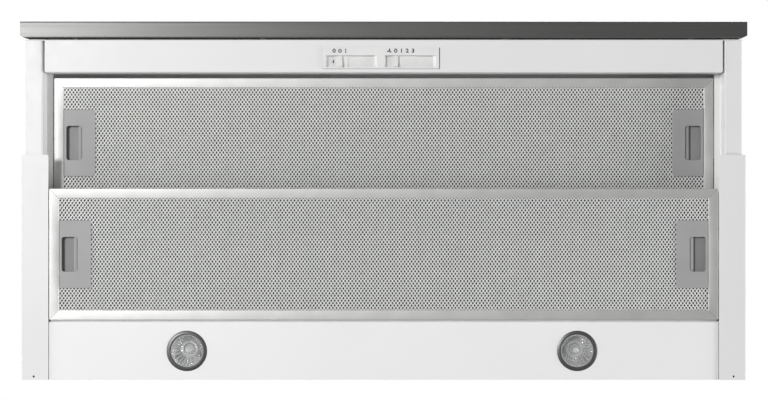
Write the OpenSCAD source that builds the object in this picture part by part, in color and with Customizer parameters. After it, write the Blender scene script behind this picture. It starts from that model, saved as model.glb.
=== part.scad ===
// Pull out range hood for a 90 cm wall cabinet, drawn with its slider pulled out.
// +Z is up, -Y is the front, sizes are millimetres. The origin lies under the middle of
// the whole hood, level with its underside. Depths are counted forward from the rear face.

/* [Body] */
// Width of the steel body over its side panels
body_w = 895; // [880:1:896]
// Depth of the steel body
body_d = 278; // [274:1:290]
// Height of the body from its underside to the underside of the deck
body_h = 62; // [60:1:80]
// Thickness of the body's sheet steel
sheet = 1; // [0.8:0.1:1.2]
// Inner radius of the folds in sheet metal
fold_r = 0.6; // [0.3:0.1:0.8]
// Width of the bottom flanges
flange_w = 33.5; // [33:0.5:37.5]
// Width of the side panels' top flanges
top_flange_w = 20; // [16:1:30]
// Play between two sheets that are fixed together
seam = 0.2; // [0.1:0.1:0.4]
// Gap between the front bridge and the top of the slider
bridge_gap = 2; // [1:0.5:4]
// Depth of the front bridge's two flanges
bridge_flange = 12; // [8:1:20]

/* [Light panel] */
// Depth of the rear light panel
light_panel_d = 71.8; // [68:0.1:72]
// Height of the light panel's underside over the bottom flanges
light_panel_z = 1.6; // [1.5:0.1:2.5]
// Height of the light panel's rear and end walls
light_panel_wall = 14; // [10:1:20]
// Distance between the two lamps
lamp_spacing = 482.4; // [400:0.2:520]
// Sideways shift of the pair of lamps
lamp_shift = -2; // [-10:1:10]
// Distance of the lamps from the rear face
lamp_back = 35.7; // [33:0.1:38]
// Outer diameter of a lamp's ring
bezel_d = 50; // [46:1:56]
// Diameter of the lamp itself
lamp_d = 41; // [36:1:42]
// Height of the lamp's reflector
reflector_h = 30; // [26:1:34]
// Diameter of the lamp's neck
neck_d = 14; // [12:1:16]
// Height of the lamp holder
holder_h = 15; // [10:1:18]

/* [Motor box] */
// Width of the motor box on top of the body
box_w = 560; // [520:1:700]
// Depth of the motor box
box_d = 248; // [246:1:250]
// Height of the motor box
box_h = 133; // [132:1:170]
// Width of the motor box's bottom flange
box_flange = 12; // [8:1:13]
// Width of the folds that carry the motor box's top
box_fold = 12; // [8:1:16]
// Width of the air opening in the deck
deck_opening_w = 500; // [300:1:510]
// Depth of the air opening in the deck
deck_opening_d = 204; // [150:1:210]

/* [Duct collar] */
// Outer diameter of the duct collar
collar_d = 149; // [146:1:152]
// Wall of the duct collar
collar_wall = 3; // [2:0.5:4]
// Height of the duct collar with its flange
collar_h = 40; // [36:1:60]
// Diameter of the duct collar's flange
collar_flange_d = 184; // [176:1:200]
// Thickness of the duct collar's flange
collar_flange_t = 2.5; // [2:0.5:4]
// Distance between the pivots of the two flaps
flap_pitch = 8; // [7:0.5:12]
// Thickness of a flap
flap_t = 1.6; // [1.2:0.2:2.4]
// Diameter of a flap's pivot pin
flap_pin_d = 4; // [3:0.5:5]
// Diameter of a flap's hub
flap_hub_d = 6.4; // [6:0.2:6.6]
// Height of the flaps' seat over the foot of the collar
flap_seat_h = 8; // [6:1:12]

/* [Slider] */
// Travel of the slider
travel = 142; // [120:1:150]
// Gap between the body and the fascia when the slider is shut
closing_gap = 2.2; // [1.5:0.1:4]
// Gap between a slider arm and the side panel, which holds the runner
arm_gap = 3; // [2:0.5:4]
// Width of the arm's bottom strip
arm_w = 21.5; // [20:0.5:24]
// Height of the arm's bottom strip over the underside
arm_z = 4; // [3.5:0.5:5]
// Length of an arm
arm_l = 252; // [230:1:255]
// Height of the ledge that carries the slider's filter
ledge_z = 30; // [28:1:32]
// Depth of the rear bar behind the slider's filter
rear_bar_d = 14; // [10:1:15]
// Gap between the front box and each arm
front_box_gap = 3; // [2.5:0.5:12]
// Depth of the front box
front_box_d = 41; // [38:1:44]
// Height of the front box's underside over the flanges
front_box_z = 2; // [1.5:0.5:3]
// Height of the front box
front_box_h = 46; // [40:1:47]
// Radius of the front box's rear corners
front_box_r = 2.5; // [1:0.5:3]
// Width of the fold along the top of the front box's rear wall
front_box_hem = 6; // [4:1:10]

/* [Fascia] */
// Reach of the stainless fascia past each side of the body
fascia_over = 1.5; // [0.5:0.5:2.5]
// Depth of the fascia
fascia_d = 20.5; // [16:0.5:30]
// Height of the fascia
fascia_h = 50; // [46:1:52]
// Height of the fascia's rear lips
fascia_lip = 12; // [10:1:14]
// Gap between the fascia and the front box
fascia_gap = 1.6; // [1:0.2:3]
// Size of the cut corners at the fascia's rear
fascia_cut = 3; // [1:0.5:5]

/* [Filters] */
// Play between a grease filter and the bottom flange at each side
filter_play = 1; // [0.5:0.1:1.5]
// Depth of a grease filter
filter_d = 162; // [150:1:162]
// Thickness of a grease filter
filter_t = 9; // [8.5:0.5:10]
// Width of the filter's frame
band = 12; // [10:0.5:14]
// Thickness of the filter frame's metal
frame_t = 1; // [0.8:0.1:1.2]
// Half gap of a mitre joint
mitre = 0.1; // [0.05:0.05:0.3]
// Gap between the fixed filter and the light panel
filter_gap = 2.4; // [1.5:0.1:4]
// Gap between the slider's filter and the rear bar
slider_filter_gap = 1.4; // [1:0.1:2]
// Gap between the slider's filter and the front box
front_gap = 4.9; // [3:0.1:6]
// Thickness of the face sheet and of the back sheet
mesh_t = 0.6; // [0.4:0.1:0.8]
// Distance between the gaps of the face sheet along its rows
mesh_pitch = 18; // [16:1:24]
// Distance between the rows of the face sheet
mesh_row = 19.5; // [18:0.5:24]
// Width of one gap of the face sheet
mesh_gap_w = 14; // [10:1:15]
// Depth of one gap of the face sheet
mesh_gap_d = 14; // [10:1:16]
// Width of a filter's rear tab
tab_w = 30; // [20:1:40]
// Length of a filter's rear tab
tab_l = 3.6; // [3:0.2:5]

/* [Handles] */
// Width of a handle cover
cover_w = 38.9; // [36:0.1:42]
// Length of a handle cover
cover_l = 83.8; // [80:0.1:90]
// Thickness of the cover's plate
cover_t = 2; // [1.6:0.2:2.4]
// Radius of the cover's inner corners
cover_r = 2.5; // [1:0.5:4]
// Width of the finger window
window_w = 19.7; // [16:0.1:20]
// Length of the finger window
window_l = 42.7; // [36:0.1:44]
// Distance from the cover's outer edge to the window
window_edge = 3; // [2.5:0.1:4]
// Radius of the finger window's corners
window_r = 2; // [0.5:0.5:3]
// Length of the pocket behind the cover
pocket_l = 64; // [62:1:70]
// Wall of the pocket
pocket_wall = 1.5; // [1:0.1:2]
// Travel of a latch, which draws its tongue in flush with the filter's edge
latch_travel = 5; // [4.5:0.5:5]
// Width of a latch's tongue
tongue_w = 40; // [30:1:41]
// Thickness of a latch's slide
latch_t = 1.6; // [1.4:0.1:1.8]
// Thickness of a latch's finger lip
lip_t = 4.7; // [3:0.1:5]
// Outer diameter of a latch's spring
spring_d = 4.4; // [3.6:0.2:4.6]
// Diameter of the spring's wire
spring_wire = 0.6; // [0.5:0.1:0.8]
// Number of turns of a spring
spring_turns = 5; // [4:1:7]

/* [Controls] */
// Width of the control plate
plate_w = 144; // [142:1:150]
// Depth of the control plate
plate_d = 26.1; // [24:0.1:28]
// Thickness of the control plate
plate_t = 1.2; // [1:0.1:1.4]
// Sideways shift of the control plate
plate_shift = -3.5; // [-10:0.5:10]
// Distance from the front box's rear wall to the control plate
plate_back = 4.8; // [4:0.1:8]
// Width of a switch's slot
slot_w = 64; // [62:1:66]
// Depth of a switch's slot
slot_d = 14.3; // [12:0.1:15]
// Distance between the two slots
slot_pitch = 72.8; // [70:0.1:76]
// Distance from the plate's rear edge to the slots
slot_back = 2; // [1.5:0.1:4]
// Depth of the slots under the plate's face
slot_h = 5.2; // [4:0.2:6]
// Slope of a slot's two ends over its depth
slot_taper = 3.5; // [0:0.5:3.5]
// Width of a knob's fin
knob_w = 6; // [4:0.5:7]
// Distance between two marks of a switch
notch = 7.1; // [6:0.1:7.2]
// Place of the lamp knob from the middle of its slot
light_at = -14.2; // [-14.6:0.1:-8]
// Place of the fan knob from the middle of its slot
fan_at = -18; // [-19:0.1:-17.5]
// Thickness of the shutter that moves with a knob over its slit
shutter_t = 0.8; // [0.6:0.1:1.2]

/* [Runners] */
// Height of the outer rail
rail_h = 20; // [18:1:22]
// Thickness of the rails' steel
rail_t = 1.2; // [1:0.1:1.4]
// Height of the runner's middle over the underside
rail_z = 18; // [16:1:19]
// Length of the outer rail
outer_rail_l = 262; // [240:1:264]
// Length of the inner rail
inner_rail_l = 220; // [200:1:225]
// Length of the ball cage
cage_l = 98; // [80:1:100]
// Thickness of the cage's strip
cage_t = 0.6; // [0.5:0.1:0.8]
// Diameter of a bearing ball
ball_d = 2.8; // [2.4:0.1:3]
// Play of a ball on each race
ball_play = 0.2; // [0.1:0.05:0.3]
// Balls in one row of a cage
balls = 6; // [3:1:8]

/* [Blower] */
// Diameter of the impeller
impeller_d = 100; // [96:1:102]
// Width of the impeller
impeller_w = 112; // [90:1:116]
// Depth of the impeller's ring of blades
blade_d = 7; // [6:0.5:9]
// Number of blades
blades = 36; // [24:1:48]
// Thickness of a blade
blade_t = 1; // [0.8:0.1:1.4]
// Lean of a blade against the radius
blade_lean = 40; // [20:1:50]
// Width of the volute housing
volute_w = 124; // [122:1:126]
// Wall of the volute housing
volute_wall = 2; // [1.6:0.2:2.4]
// Gap between the impeller and the volute at its tongue
volute_gap = 6; // [5:0.5:7]
// Growth of the volute's radius over its spiral
volute_growth = 24; // [18:1:25]
// Width of the volute's outlet, front to rear
outlet_d = 72; // [60:1:74]
// Radius of the volute's two inlets
inlet_r = 43; // [40:1:44]
// Diameter of the motor
motor_d = 72; // [60:1:76]
// Length of the motor
motor_l = 50; // [40:1:51]
// Diameter of the motor's shaft
shaft_d = 8; // [6:1:10]
// Running play round the shaft
shaft_play = 0.05; // [0.03:0.01:0.1]

/* [Electrics] */
// Diameter of the run capacitor
capacitor_d = 34; // [25:1:40]
// Height of the run capacitor
capacitor_h = 62; // [50:1:70]
// Width of the terminal box
terminal_w = 48; // [40:1:60]
// Length of the terminal box
terminal_l = 80; // [60:1:100]
// Height of the terminal box
terminal_h = 56; // [46:1:66]
// Bore of the cable gland
gland_bore = 9; // [7:0.5:10]
// Thread diameter of the cable gland
gland_d = 16; // [14:0.5:18]
// Height of the cable gland over the deck
gland_up = 90; // [60:1:100]

/* [Fixings] */
// Diameter of the screws' shanks
screw_d = 3.8; // [3:0.1:4]
// Play round a screw's shank
screw_play = 0.2; // [0.1:0.1:0.3]
// Diameter of the screws' heads
screw_head_d = 7.2; // [6.4:0.2:8]
// Height of the screws' heads
screw_head_h = 2; // [1.6:0.1:2.4]
// Diameter of the holes that fix the hood to its cabinet
side_hole_d = 4.5; // [4:0.1:5.5]
// Distance between the two holes in a side panel
side_hole_pitch = 200; // [160:1:210]
// Height of the holes in the side panels
side_hole_z = 48; // [44:1:54]
// Diameter of the two holes in the rear corners
base_hole_d = 2.6; // [2:0.1:3.2]
// Distance of those holes from the outer side of the body
base_hole_in = 15.5; // [14:0.5:18]
// Distance of those holes from the rear face
base_hole_back = 4.3; // [4:0.1:8]

/* [Hidden] */
$fn = 64;

// Finishes
white = [0.93, 0.93, 0.92];
steel = [0.60, 0.60, 0.60];
alu = [0.78, 0.78, 0.77];
grey = [0.56, 0.56, 0.57];
zinc = [0.70, 0.71, 0.72];
dark = [0.16, 0.16, 0.17];

play = 0.3;
closed_fascia_back = body_d + closing_gap;
fascia_back = closed_fascia_back + travel;
hood_d = fascia_back + fascia_d;
rear_y = hood_d / 2;

// Body
wall_x = body_w / 2 - sheet;
flange_x = body_w / 2 - flange_w;
base_hole_x = body_w / 2 - base_hole_in;
back_fold = 18;
deck_z = body_h;
box_z = deck_z + sheet;
box_top = box_z + box_h;
box_y = rear_y - body_d / 2;
lamp_y = rear_y - lamp_back;
lamp_hole_r = bezel_d / 2 - 2;
sleeve_h = 10;
sleeve_t = 1;
glass_sink = 0.6;

// Slider
arm_x = wall_x - arm_gap;
arm_in_x = arm_x - arm_w;
arm_lip_h = 3.5;
front_box_x = arm_in_x - front_box_gap;
fascia_w = body_w + 2 * fascia_over;
filter_w = 2 * (flange_x - filter_play);
box_front = fascia_back - fascia_gap;
box_rear = box_front - front_box_d;
arm_front = box_front - sheet - seam;
arm_rear = arm_front - arm_l;
slider_filter_front = box_rear - front_gap;
slider_filter_y = rear_y - slider_filter_front + filter_d / 2;
fixed_filter_y = rear_y - light_panel_d - filter_gap - filter_d / 2;
rear_bar_front = slider_filter_front - filter_d - slider_filter_gap;
top_x = filter_w / 2 + latch_travel + 2.5;
top_z = front_box_z + front_box_h;
bridge_z = top_z + sheet + bridge_gap;

// Handles: measured out from the middle of a filter, for its right end
edge_x = filter_w / 2;
cover_x1 = edge_x - band - play;
cover_x0 = cover_x1 - cover_w;
cover_z = 0.2;
cover_top = cover_z + cover_t;
window_x1 = cover_x1 - window_edge;
window_x0 = window_x1 - window_w;
pocket_x0 = cover_x0 + pocket_wall;
pocket_top = filter_t - play;
roof_t = 1.2;
latch_z = cover_top + play;
lip_x0 = window_x0 + play;
tongue_x0 = window_x1 + 1.3;
tongue_x1 = edge_x + latch_travel;
hook_x0 = cover_x1 + latch_travel + 2 * sheet + play;
hook_z = sheet + play;
bar_t = 3;
ear_l = 10;
ear_reach = 3;

// Controls
plate_z = front_box_z - plate_t;
plate_y = rear_y - box_rear - plate_back - plate_d / 2;
plate_x = plate_shift;
slot_y = plate_y + plate_d / 2 - slot_back - slot_d / 2;
slot_floor = plate_z + slot_h;
well_wall = 1.2;
well_top = slot_floor + well_wall;
light_x = plate_x - slot_pitch / 2 + light_at;
fan_x = plate_x + slot_pitch / 2 + fan_at;
carrier_t = 1.2;
carrier_w = 10;
shutter_side = 6;
light_shutter = notch + 3;
fan_shutter = slot_w / 2 - slot_taper - play - fan_at - 3 * notch;
stem_w = 3;
stem_d = 2.6;
block_h = 16;

// Runners
runner_w = 12.5;
web_x = wall_x - runner_w;
race_x = wall_x - 6;
outer_race = rail_h / 2 - rail_t;
ball_r = outer_race - ball_play - ball_d / 2;
inner_race = ball_r - ball_d / 2 - ball_play;
cage_x1 = wall_x - rail_t - play;
outer_rail_rear = 10;
inner_rail_rear = arm_rear + 2;
cage_rear = (inner_rail_rear + outer_rail_rear + outer_rail_l - cage_l) / 2;
rail_tip = 2;

// Blower: the impeller's axis lies along X
collar_y = box_y;
outlet_y1 = collar_y + outlet_d / 2;
volute_r0 = impeller_d / 2 + volute_gap;
volute_r1 = volute_r0 + volute_growth;
axis_y = outlet_y1 - outlet_d + volute_r1;
axis_z = box_top - sheet - 2 * volute_wall - volute_r0;
volute_flange_w = 10;
flap_z = box_top + flap_seat_h + play + flap_t / 2 + 1.2;
seat_t = 1.5;
collar_bore_r = collar_d / 2 - collar_wall;
bracket_t = 2;
bracket_arm_w = 14;
bracket_arm_l = inlet_r + 9;
bracket_disc_r = 22;
bracket_boss_r = 18;
hub_r = 10;
impeller_hub_l = 16;
motor_boss_r = 12;
motor_boss_l = 3;
motor_shoulder = 6;

// Electrics
capacitor_x = 150;
stud_d = 8;
nut_d = 15;
nut_h = 5;
gland_z = box_z + gland_up;
gland_head = 14;
gland_nut_h = 6;
gland_thread_l = 10;

// Fixings
fascia_screw_end = 39;
fascia_screw_outer = front_box_x - fascia_screw_end;
fascia_screw_inner = 150;
fascia_screw_x = [-fascia_screw_outer, -fascia_screw_inner, fascia_screw_inner, fascia_screw_outer];
fascia_screw_z = front_box_z + sheet + screw_head_d / 2 + 0.4;
deck_screw_end = 30;
deck_opening_r = 20;
deck_screw_depths = [deck_screw_end, body_d / 2, body_d - deck_screw_end];
collar_screw_r = collar_flange_d / 2 - 7;

// Distance forward of the rear face as a Y coordinate
function back(depth) = rear_y - depth;

// A block from depth d1 forward of the rear face to depth d0, between two X and two Z
module block(x0, x1, d0, d1, z0, z1) {
    translate([x0, back(d1), z0]) cube([x1 - x0, d1 - d0, z1 - z0]);
}

module both_sides() {
    children();
    mirror([1, 0, 0]) children();
}

// Folded sheet: its section follows a line of points with square turns, t thick to the
// left of the line, with round bends
function heading(line, i) = (line[i + 1] - line[i]) / norm(line[i + 1] - line[i]);
function left_of(u) = [-u[1], u[0]];
function bend(line, i, t, far) = let (
    u = heading(line, i - 1),
    v = heading(line, i),
    turns_left = cross(u, v) > 0,
    near_r = turns_left ? fold_r + t : fold_r,
    r = turns_left == far ? fold_r : fold_r + t,
    steps = 3
) [for (k = [0:steps]) let (a = 90 * (far ? steps - k : k) / steps)
    line[i] + (v - u) * near_r + r * (u * sin(a) - v * cos(a))];

module folded(line, t = sheet) {
    n = len(line) - 1;
    polygon(concat(
        [line[0]], [for (i = [1:n - 1]) each bend(line, i, t, false)],
        [line[n], line[n] + t * left_of(heading(line, n - 1))],
        [for (i = [n - 1:-1:1]) each bend(line, i, t, true)], [line[0] + t * left_of(heading(line, 0))]
    ));
}

// Folded sheet along X, its line in Y and Z
module fold_x(line, x0, x1, t = sheet) {
    translate([x0, 0, 0]) rotate([90, 0, 90]) linear_extrude(x1 - x0) folded(line, t);
}

// Folded sheet from depth d0 to depth d1, its line in X and Z
module fold_y(line, d0, d1, t = sheet) {
    translate([0, back(d0), 0]) rotate([90, 0, 0]) linear_extrude(d1 - d0) folded(line, t);
}

// A flat rectangle with round corners, exact arcs
module round_rect(w, d, r) {
    square([w - 2 * r, d], center = true);
    square([w, d - 2 * r], center = true);
    for (x = [-1, 1], y = [-1, 1])
        translate([x * (w / 2 - r), y * (d / 2 - r)]) circle(r);
}

// Body ---------------------------------------------------------------------------------

// Right side panel: wall, wide bottom flange and narrow top flange folded from one sheet
module side_panel() {
    color(white) difference() {
        fold_y([
            [flange_x, 0], [wall_x + sheet, 0],
            [wall_x + sheet, body_h], [wall_x - top_flange_w, body_h]
        ], 0, body_d);
        for (s = [-1, 1])
            translate([wall_x - 1, box_y + s * side_hole_pitch / 2, side_hole_z])
                rotate([0, 90, 0]) cylinder(d = side_hole_d, h = sheet + 2);
        translate([base_hole_x, back(base_hole_back), -1])
            cylinder(d = base_hole_d, h = sheet + 2, $fn = 24);
        for (d = deck_screw_depths) deck_screw_hole(d);
    }
}

module left_side_panel() mirror([1, 0, 0]) side_panel();
module right_side_panel() side_panel();

// One clearance hole through the deck and the side panel's top flange
module deck_screw_hole(depth) {
    translate([wall_x - top_flange_w / 2, back(depth), body_h - sheet - 1])
        cylinder(d = screw_d + 2 * screw_play, h = 2 * sheet + 2, $fn = 24);
}

// Back panel: stands over the light panel and the flanges, folded forward under the deck
module back_panel() {
    foot = light_panel_z + sheet + seam;
    inner = wall_x - seam;
    top_x = wall_x - top_flange_w - seam;
    color(white) difference() {
        fold_x([[rear_y, foot], [rear_y, body_h], [back(back_fold), body_h]], -inner, inner);
        both_sides() corner_notch(top_x, 0, back_fold);
    }
}

// Room for a side panel's top flange at the end of a sheet that reaches the deck
module corner_notch(x, d0, d1) {
    block(x, body_w, d0 - 1, d1 + 1, body_h - sheet - seam, body_h + 1);
}

// Deck: the body's top sheet with the opening to the motor box
module deck() {
    color(white) difference() {
        block(-body_w / 2, body_w / 2, 0, body_d, deck_z, deck_z + sheet);
        translate([0, box_y, deck_z - 1])
            linear_extrude(sheet + 2) round_rect(deck_opening_w, deck_opening_d, deck_opening_r);
        both_sides() for (d = deck_screw_depths) deck_screw_hole(d);
    }
}

// Front bridge: a channel across the front, over the slider
module front_bridge() {
    top_x = wall_x - top_flange_w - seam;
    full_x = wall_x - seam;
    color(white) difference() {
        fold_x([
            [back(body_d - bridge_flange), body_h], [back(body_d), body_h],
            [back(body_d), bridge_z], [back(body_d - bridge_flange), bridge_z]
        ], -full_x, full_x);
        both_sides() corner_notch(top_x, body_d - bridge_flange, body_d);
    }
}

// Light panel ----------------------------------------------------------------------------

// Places its children at both lamps
module at_lamps() {
    for (s = [-1, 1])
        translate([lamp_shift + s * lamp_spacing / 2, lamp_y, light_panel_z]) children();
}

// Light panel: a shallow tray turned up on all four edges, with two round lamp holes
module light_panel() {
    x = flange_x - 2 * seam;
    front = light_panel_d;
    rear = sheet + seam;
    tab_seat = filter_t - frame_t - play;
    color(white) difference() {
        union() {
            block(-x, x, 0, front / 2, light_panel_z, light_panel_z + sheet);
            fold_x([
                [back(front / 2), light_panel_z + sheet], [back(front - sheet), light_panel_z + sheet],
                [back(front - sheet), tab_seat]
            ], -x, x);
            block(-x, x, rear, rear + sheet, light_panel_z, light_panel_wall);
            both_sides() block(x - sheet, x, rear, front, light_panel_z, tab_seat);
        }
        at_lamps() translate([0, 0, -1]) cylinder(r = lamp_hole_r, h = sheet + 2);
    }
}

// Lamp rings: a turned flange under the panel and a sleeve through it
module lamp_bezels() {
    lamp_r = lamp_d / 2 + play;
    sleeve_r = lamp_hole_r - play;
    flange_t = light_panel_z - play;
    color(zinc) at_lamps() rotate_extrude() polygon([
        [lamp_r, -flange_t], [bezel_d / 2 - sleeve_t, -flange_t], [bezel_d / 2, -glass_sink],
        [bezel_d / 2, 0], [sleeve_r, 0], [sleeve_r, sleeve_h], [sleeve_r - sleeve_t, sleeve_h],
        [sleeve_r - sleeve_t, 2 * sleeve_t], [lamp_r, 1.2 * sleeve_t]
    ]);
}

// Clear front glass of each lamp
module lamp_glasses() {
    color([0.9, 0.93, 0.95, 0.5]) at_lamps()
        translate([0, 0, -glass_sink]) cylinder(d = lamp_d, h = 1 + glass_sink);
}

// Pressed reflectors: a hollow bowl that narrows to the neck
module lamp_reflectors() {
    rim_r = lamp_d / 2 - 0.4;
    neck_r = neck_d / 2;
    wall = 1.2;
    steps = 6;
    function bowl_r(t) = neck_r + (rim_r - neck_r) * sqrt(1 - t);
    outer = [for (i = [0:steps]) [bowl_r(i / steps), 1 + reflector_h * i / steps]];
    inner = [for (i = [steps:-1:0]) [bowl_r(i / steps) - wall, 1 + (reflector_h - wall) * i / steps]];
    color(zinc) at_lamps() {
        rotate_extrude() polygon(concat(outer, inner));
        translate([0, 0, reflector_h + 1 - wall]) cylinder(r = neck_r, h = wall + 6);
    }
}

// Capsule bulbs on the axis of each reflector
module lamp_bulbs() {
    capsule_r = 4.2;
    foot = reflector_h - 0.2;
    length = 18;
    color([0.95, 0.93, 0.85]) at_lamps() {
        translate([0, 0, foot - length]) cylinder(r = capsule_r, h = length);
        translate([0, 0, foot - length]) sphere(capsule_r);
    }
}

// Ceramic lamp holders with their mouth round each neck
module lamp_holders() {
    color([0.88, 0.86, 0.80]) at_lamps() translate([0, 0, reflector_h + 1.5]) difference() {
        cylinder(d = neck_d + 4.4, h = holder_h);
        translate([0, 0, -1]) cylinder(d = neck_d + 0.4, h = 7);
        translate([-1, -neck_d, holder_h - 3]) cube([2, 2 * neck_d, 4]);
    }
}

// Motor box --------------------------------------------------------------------------------

// Motor box: four walls, turned out on to the deck and in under the top, and a flat top
module motor_box() {
    color(white) translate([0, box_y, 0]) {
        difference() {
            translate([0, 0, box_top - sheet]) linear_extrude(sheet)
                round_rect(box_w, box_d, sheet);
            translate([0, 0, box_top - 2]) cylinder(r = collar_bore_r, h = 4);
            translate([capacitor_x, 0, box_top - 2])
                cylinder(d = stud_d + 0.6, h = 4, $fn = 24);
            translate([0, -box_y, 0]) at_collar_screws() translate([0, 0, -3])
                cylinder(d = screw_d + 2 * screw_play, h = 6, $fn = 24);
        }
        for (s = [0, 1]) {
            mirror([0, s, 0]) box_wall(box_w, box_d / 2, sheet + seam);
            difference() {
                rotate(90 + 180 * s) box_wall(box_d - 2 * sheet - 2 * seam, box_w / 2, box_fold + seam);
                translate([box_w / 2 - 3, 0, gland_z]) rotate([0, 90, 0])
                    cylinder(d = gland_d + 0.6, h = 6, $fn = 32);
            }
        }
    }
}

// One wall of the motor box, across X at -y; its top fold stops short by cut at both ends
module box_wall(w, y, cut) {
    top = box_top - sheet - seam;
    difference() {
        fold_x([
            [-y + sheet + box_fold, top], [-y, top], [-y, box_z + sheet],
            [-y - box_flange, box_z + sheet]
        ], -w / 2, w / 2);
        both_sides() translate([w / 2 - cut, -y + sheet, top - sheet - 1])
            cube([box_w, box_fold + 1, sheet + 2]);
    }
}

// Duct collar: flange, spigot, seat for the flaps and four bosses for their pins
module duct_collar() {
    color(dark) translate([0, collar_y, box_top]) difference() {
        union() {
            cylinder(d = collar_flange_d, h = collar_flange_t, $fn = 96);
            cylinder(d = collar_d, h = collar_h, $fn = 96);
        }
        difference() {
            translate([0, 0, -1]) cylinder(r = collar_bore_r, h = collar_h + 2, $fn = 96);
            difference() {
                translate([0, 0, flap_seat_h - seat_t])
                    cylinder(r = collar_bore_r, h = seat_t, $fn = 96);
                translate([0, 0, flap_seat_h - seat_t - 1])
                    cylinder(r = collar_bore_r - 4, h = seat_t + 2, $fn = 96);
            }
        }
        for (s = [-1, 1]) translate([0, s * flap_pitch / 2, flap_z - box_top])
            rotate([0, 90, 0]) translate([0, 0, -collar_d / 2 + 1])
                cylinder(d = flap_pin_d + 0.1, h = collar_d - 2, $fn = 32);
        translate([0, -collar_y, -box_top]) at_collar_screws() translate([0, 0, -1])
            cylinder(d = screw_d + 2 * screw_play, h = collar_flange_t + 2, $fn = 24);
    }
}

module at_collar_screws() {
    for (a = [45:90:315])
        translate([collar_screw_r * cos(a), collar_y + collar_screw_r * sin(a), box_top])
            children();
}

// One flap, hinged beside the collar's middle line: half a disc with a hub and a pin
module flap() {
    disc_r = collar_bore_r - 1.2;
    pin_l = collar_d - 3;
    hub_l = 2 * (disc_r - 5);
    color(grey) translate([0, collar_y, flap_z]) {
        translate([0, 0, -1.2 - flap_t / 2]) linear_extrude(flap_t) intersection() {
            circle(disc_r, $fn = 96);
            translate([-disc_r, flap_pitch / 2]) square([2 * disc_r, disc_r]);
        }
        translate([-hub_l / 2, flap_pitch / 2, 0]) rotate([0, 90, 0])
            cylinder(d = flap_hub_d, h = hub_l);
        translate([-pin_l / 2, flap_pitch / 2, 0]) rotate([0, 90, 0])
            cylinder(d = flap_pin_d, h = pin_l, $fn = 32);
    }
}

module flap_rear() flap();
module flap_front() translate([0, 2 * collar_y, 0]) mirror([0, 1, 0]) flap();

// Blower ---------------------------------------------------------------------------------

// The volute's outline in its own plane: X runs to the front, Y up, axis at the middle
module spiral_shape(inset) {
    grow = volute_growth;
    r0 = volute_r0 - inset;
    top = box_top - sheet - axis_z;
    outlet_x0 = volute_r1 - outlet_d + inset;
    outlet_x1 = volute_r1 - inset;
    polygon([for (a = [-20:10:270]) let (r = r0 + grow * max(0, a) / 270)
        [-r * sin(a), r * cos(a)]]);
    translate([outlet_x0, 0]) square([outlet_x1 - outlet_x0, top + (inset > 0 ? 1 : 0)]);
}

// Half of the volute housing, on the +X side, with its inlet, outlet and top flange
module volute_half() {
    half = volute_w / 2;
    top = box_top - sheet - axis_z;
    flange_x0 = volute_r1 - outlet_d - 2;
    color(dark) translate([0, axis_y, axis_z]) rotate([90, 0, -90]) mirror([0, 0, 1])
        difference() {
            union() {
                linear_extrude(half) spiral_shape(0);
                translate([flange_x0, top - volute_wall])
                    cube([outlet_d + 4, volute_wall, half + volute_flange_w]);
            }
            translate([0, 0, -1]) linear_extrude(half - volute_wall + 1)
                spiral_shape(volute_wall);
            cylinder(r = inlet_r, h = half + 1);
        }
}

module volute_right() volute_half();
module volute_left() mirror([1, 0, 0]) volute_half();

// Drum impeller: a hub disc in the middle, forward curved blades, a ring at each end
module impeller() {
    r1 = impeller_d / 2;
    r0 = r1 - blade_d;
    ring_t = 2;
    half = impeller_w / 2;
    color(dark) translate([0, axis_y, axis_z]) rotate([0, 90, 0]) difference() {
        union() {
            for (z = [-half, half - ring_t]) translate([0, 0, z]) linear_extrude(ring_t)
                difference() {
                    circle(r1);
                    circle(r0);
                }
            translate([0, 0, -ring_t / 2]) cylinder(r = r1, h = ring_t);
            translate([0, 0, -impeller_hub_l / 2]) cylinder(r = hub_r, h = impeller_hub_l);
            for (i = [0:blades - 1]) rotate(i * 360 / blades)
                translate([(r0 + r1) / 2, 0, 0]) rotate(blade_lean)
                    cube([blade_d - 0.6, blade_t, impeller_w], center = true);
        }
        translate([0, 0, -impeller_hub_l / 2 - 1])
            cylinder(d = shaft_d, h = impeller_hub_l + 2, $fn = 48);
    }
}

// Motor shaft, pressed into the impeller's hub
module motor_shaft() {
    color(zinc) translate([-motor_l - impeller_hub_l, axis_y, axis_z]) rotate([0, 90, 0])
        cylinder(d = shaft_d, h = motor_l + impeller_hub_l + hub_r, $fn = 48);
}

// Motor: a turned can inside the left half of the drum, bored for its shaft
module motor_case() {
    x1 = -hub_r - 2;
    color(steel) translate([x1 - motor_l, axis_y, axis_z]) rotate([0, 90, 0])
        rotate_extrude() polygon([
            [shaft_d / 2 + shaft_play, 0], [motor_d / 2, 0],
            [motor_d / 2, motor_l - motor_boss_l - motor_shoulder],
            [motor_d / 2 - motor_shoulder, motor_l - motor_boss_l],
            [motor_boss_r, motor_l - motor_boss_l], [motor_boss_r, motor_l],
            [shaft_d / 2 + shaft_play, motor_l]
        ]);
}

// Three armed bracket that carries the motor across the left inlet
module motor_bracket() {
    x1 = -hub_r - 2 - motor_l;
    face = -volute_w / 2;
    color(zinc) translate([face - bracket_t, axis_y, axis_z]) rotate([0, 90, 0]) difference() {
        union() {
            for (a = [0, 120, 240]) rotate(a) translate([0, -bracket_arm_w / 2, 0])
                cube([bracket_arm_l, bracket_arm_w, bracket_t]);
            cylinder(r = bracket_disc_r, h = bracket_t);
            cylinder(r = bracket_boss_r, h = x1 - face + bracket_t);
        }
        translate([0, 0, -1])
            cylinder(d = shaft_d + 2 * bracket_t, h = x1 - face + bracket_t + 2);
    }
}

// Electrics ------------------------------------------------------------------------------

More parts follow.
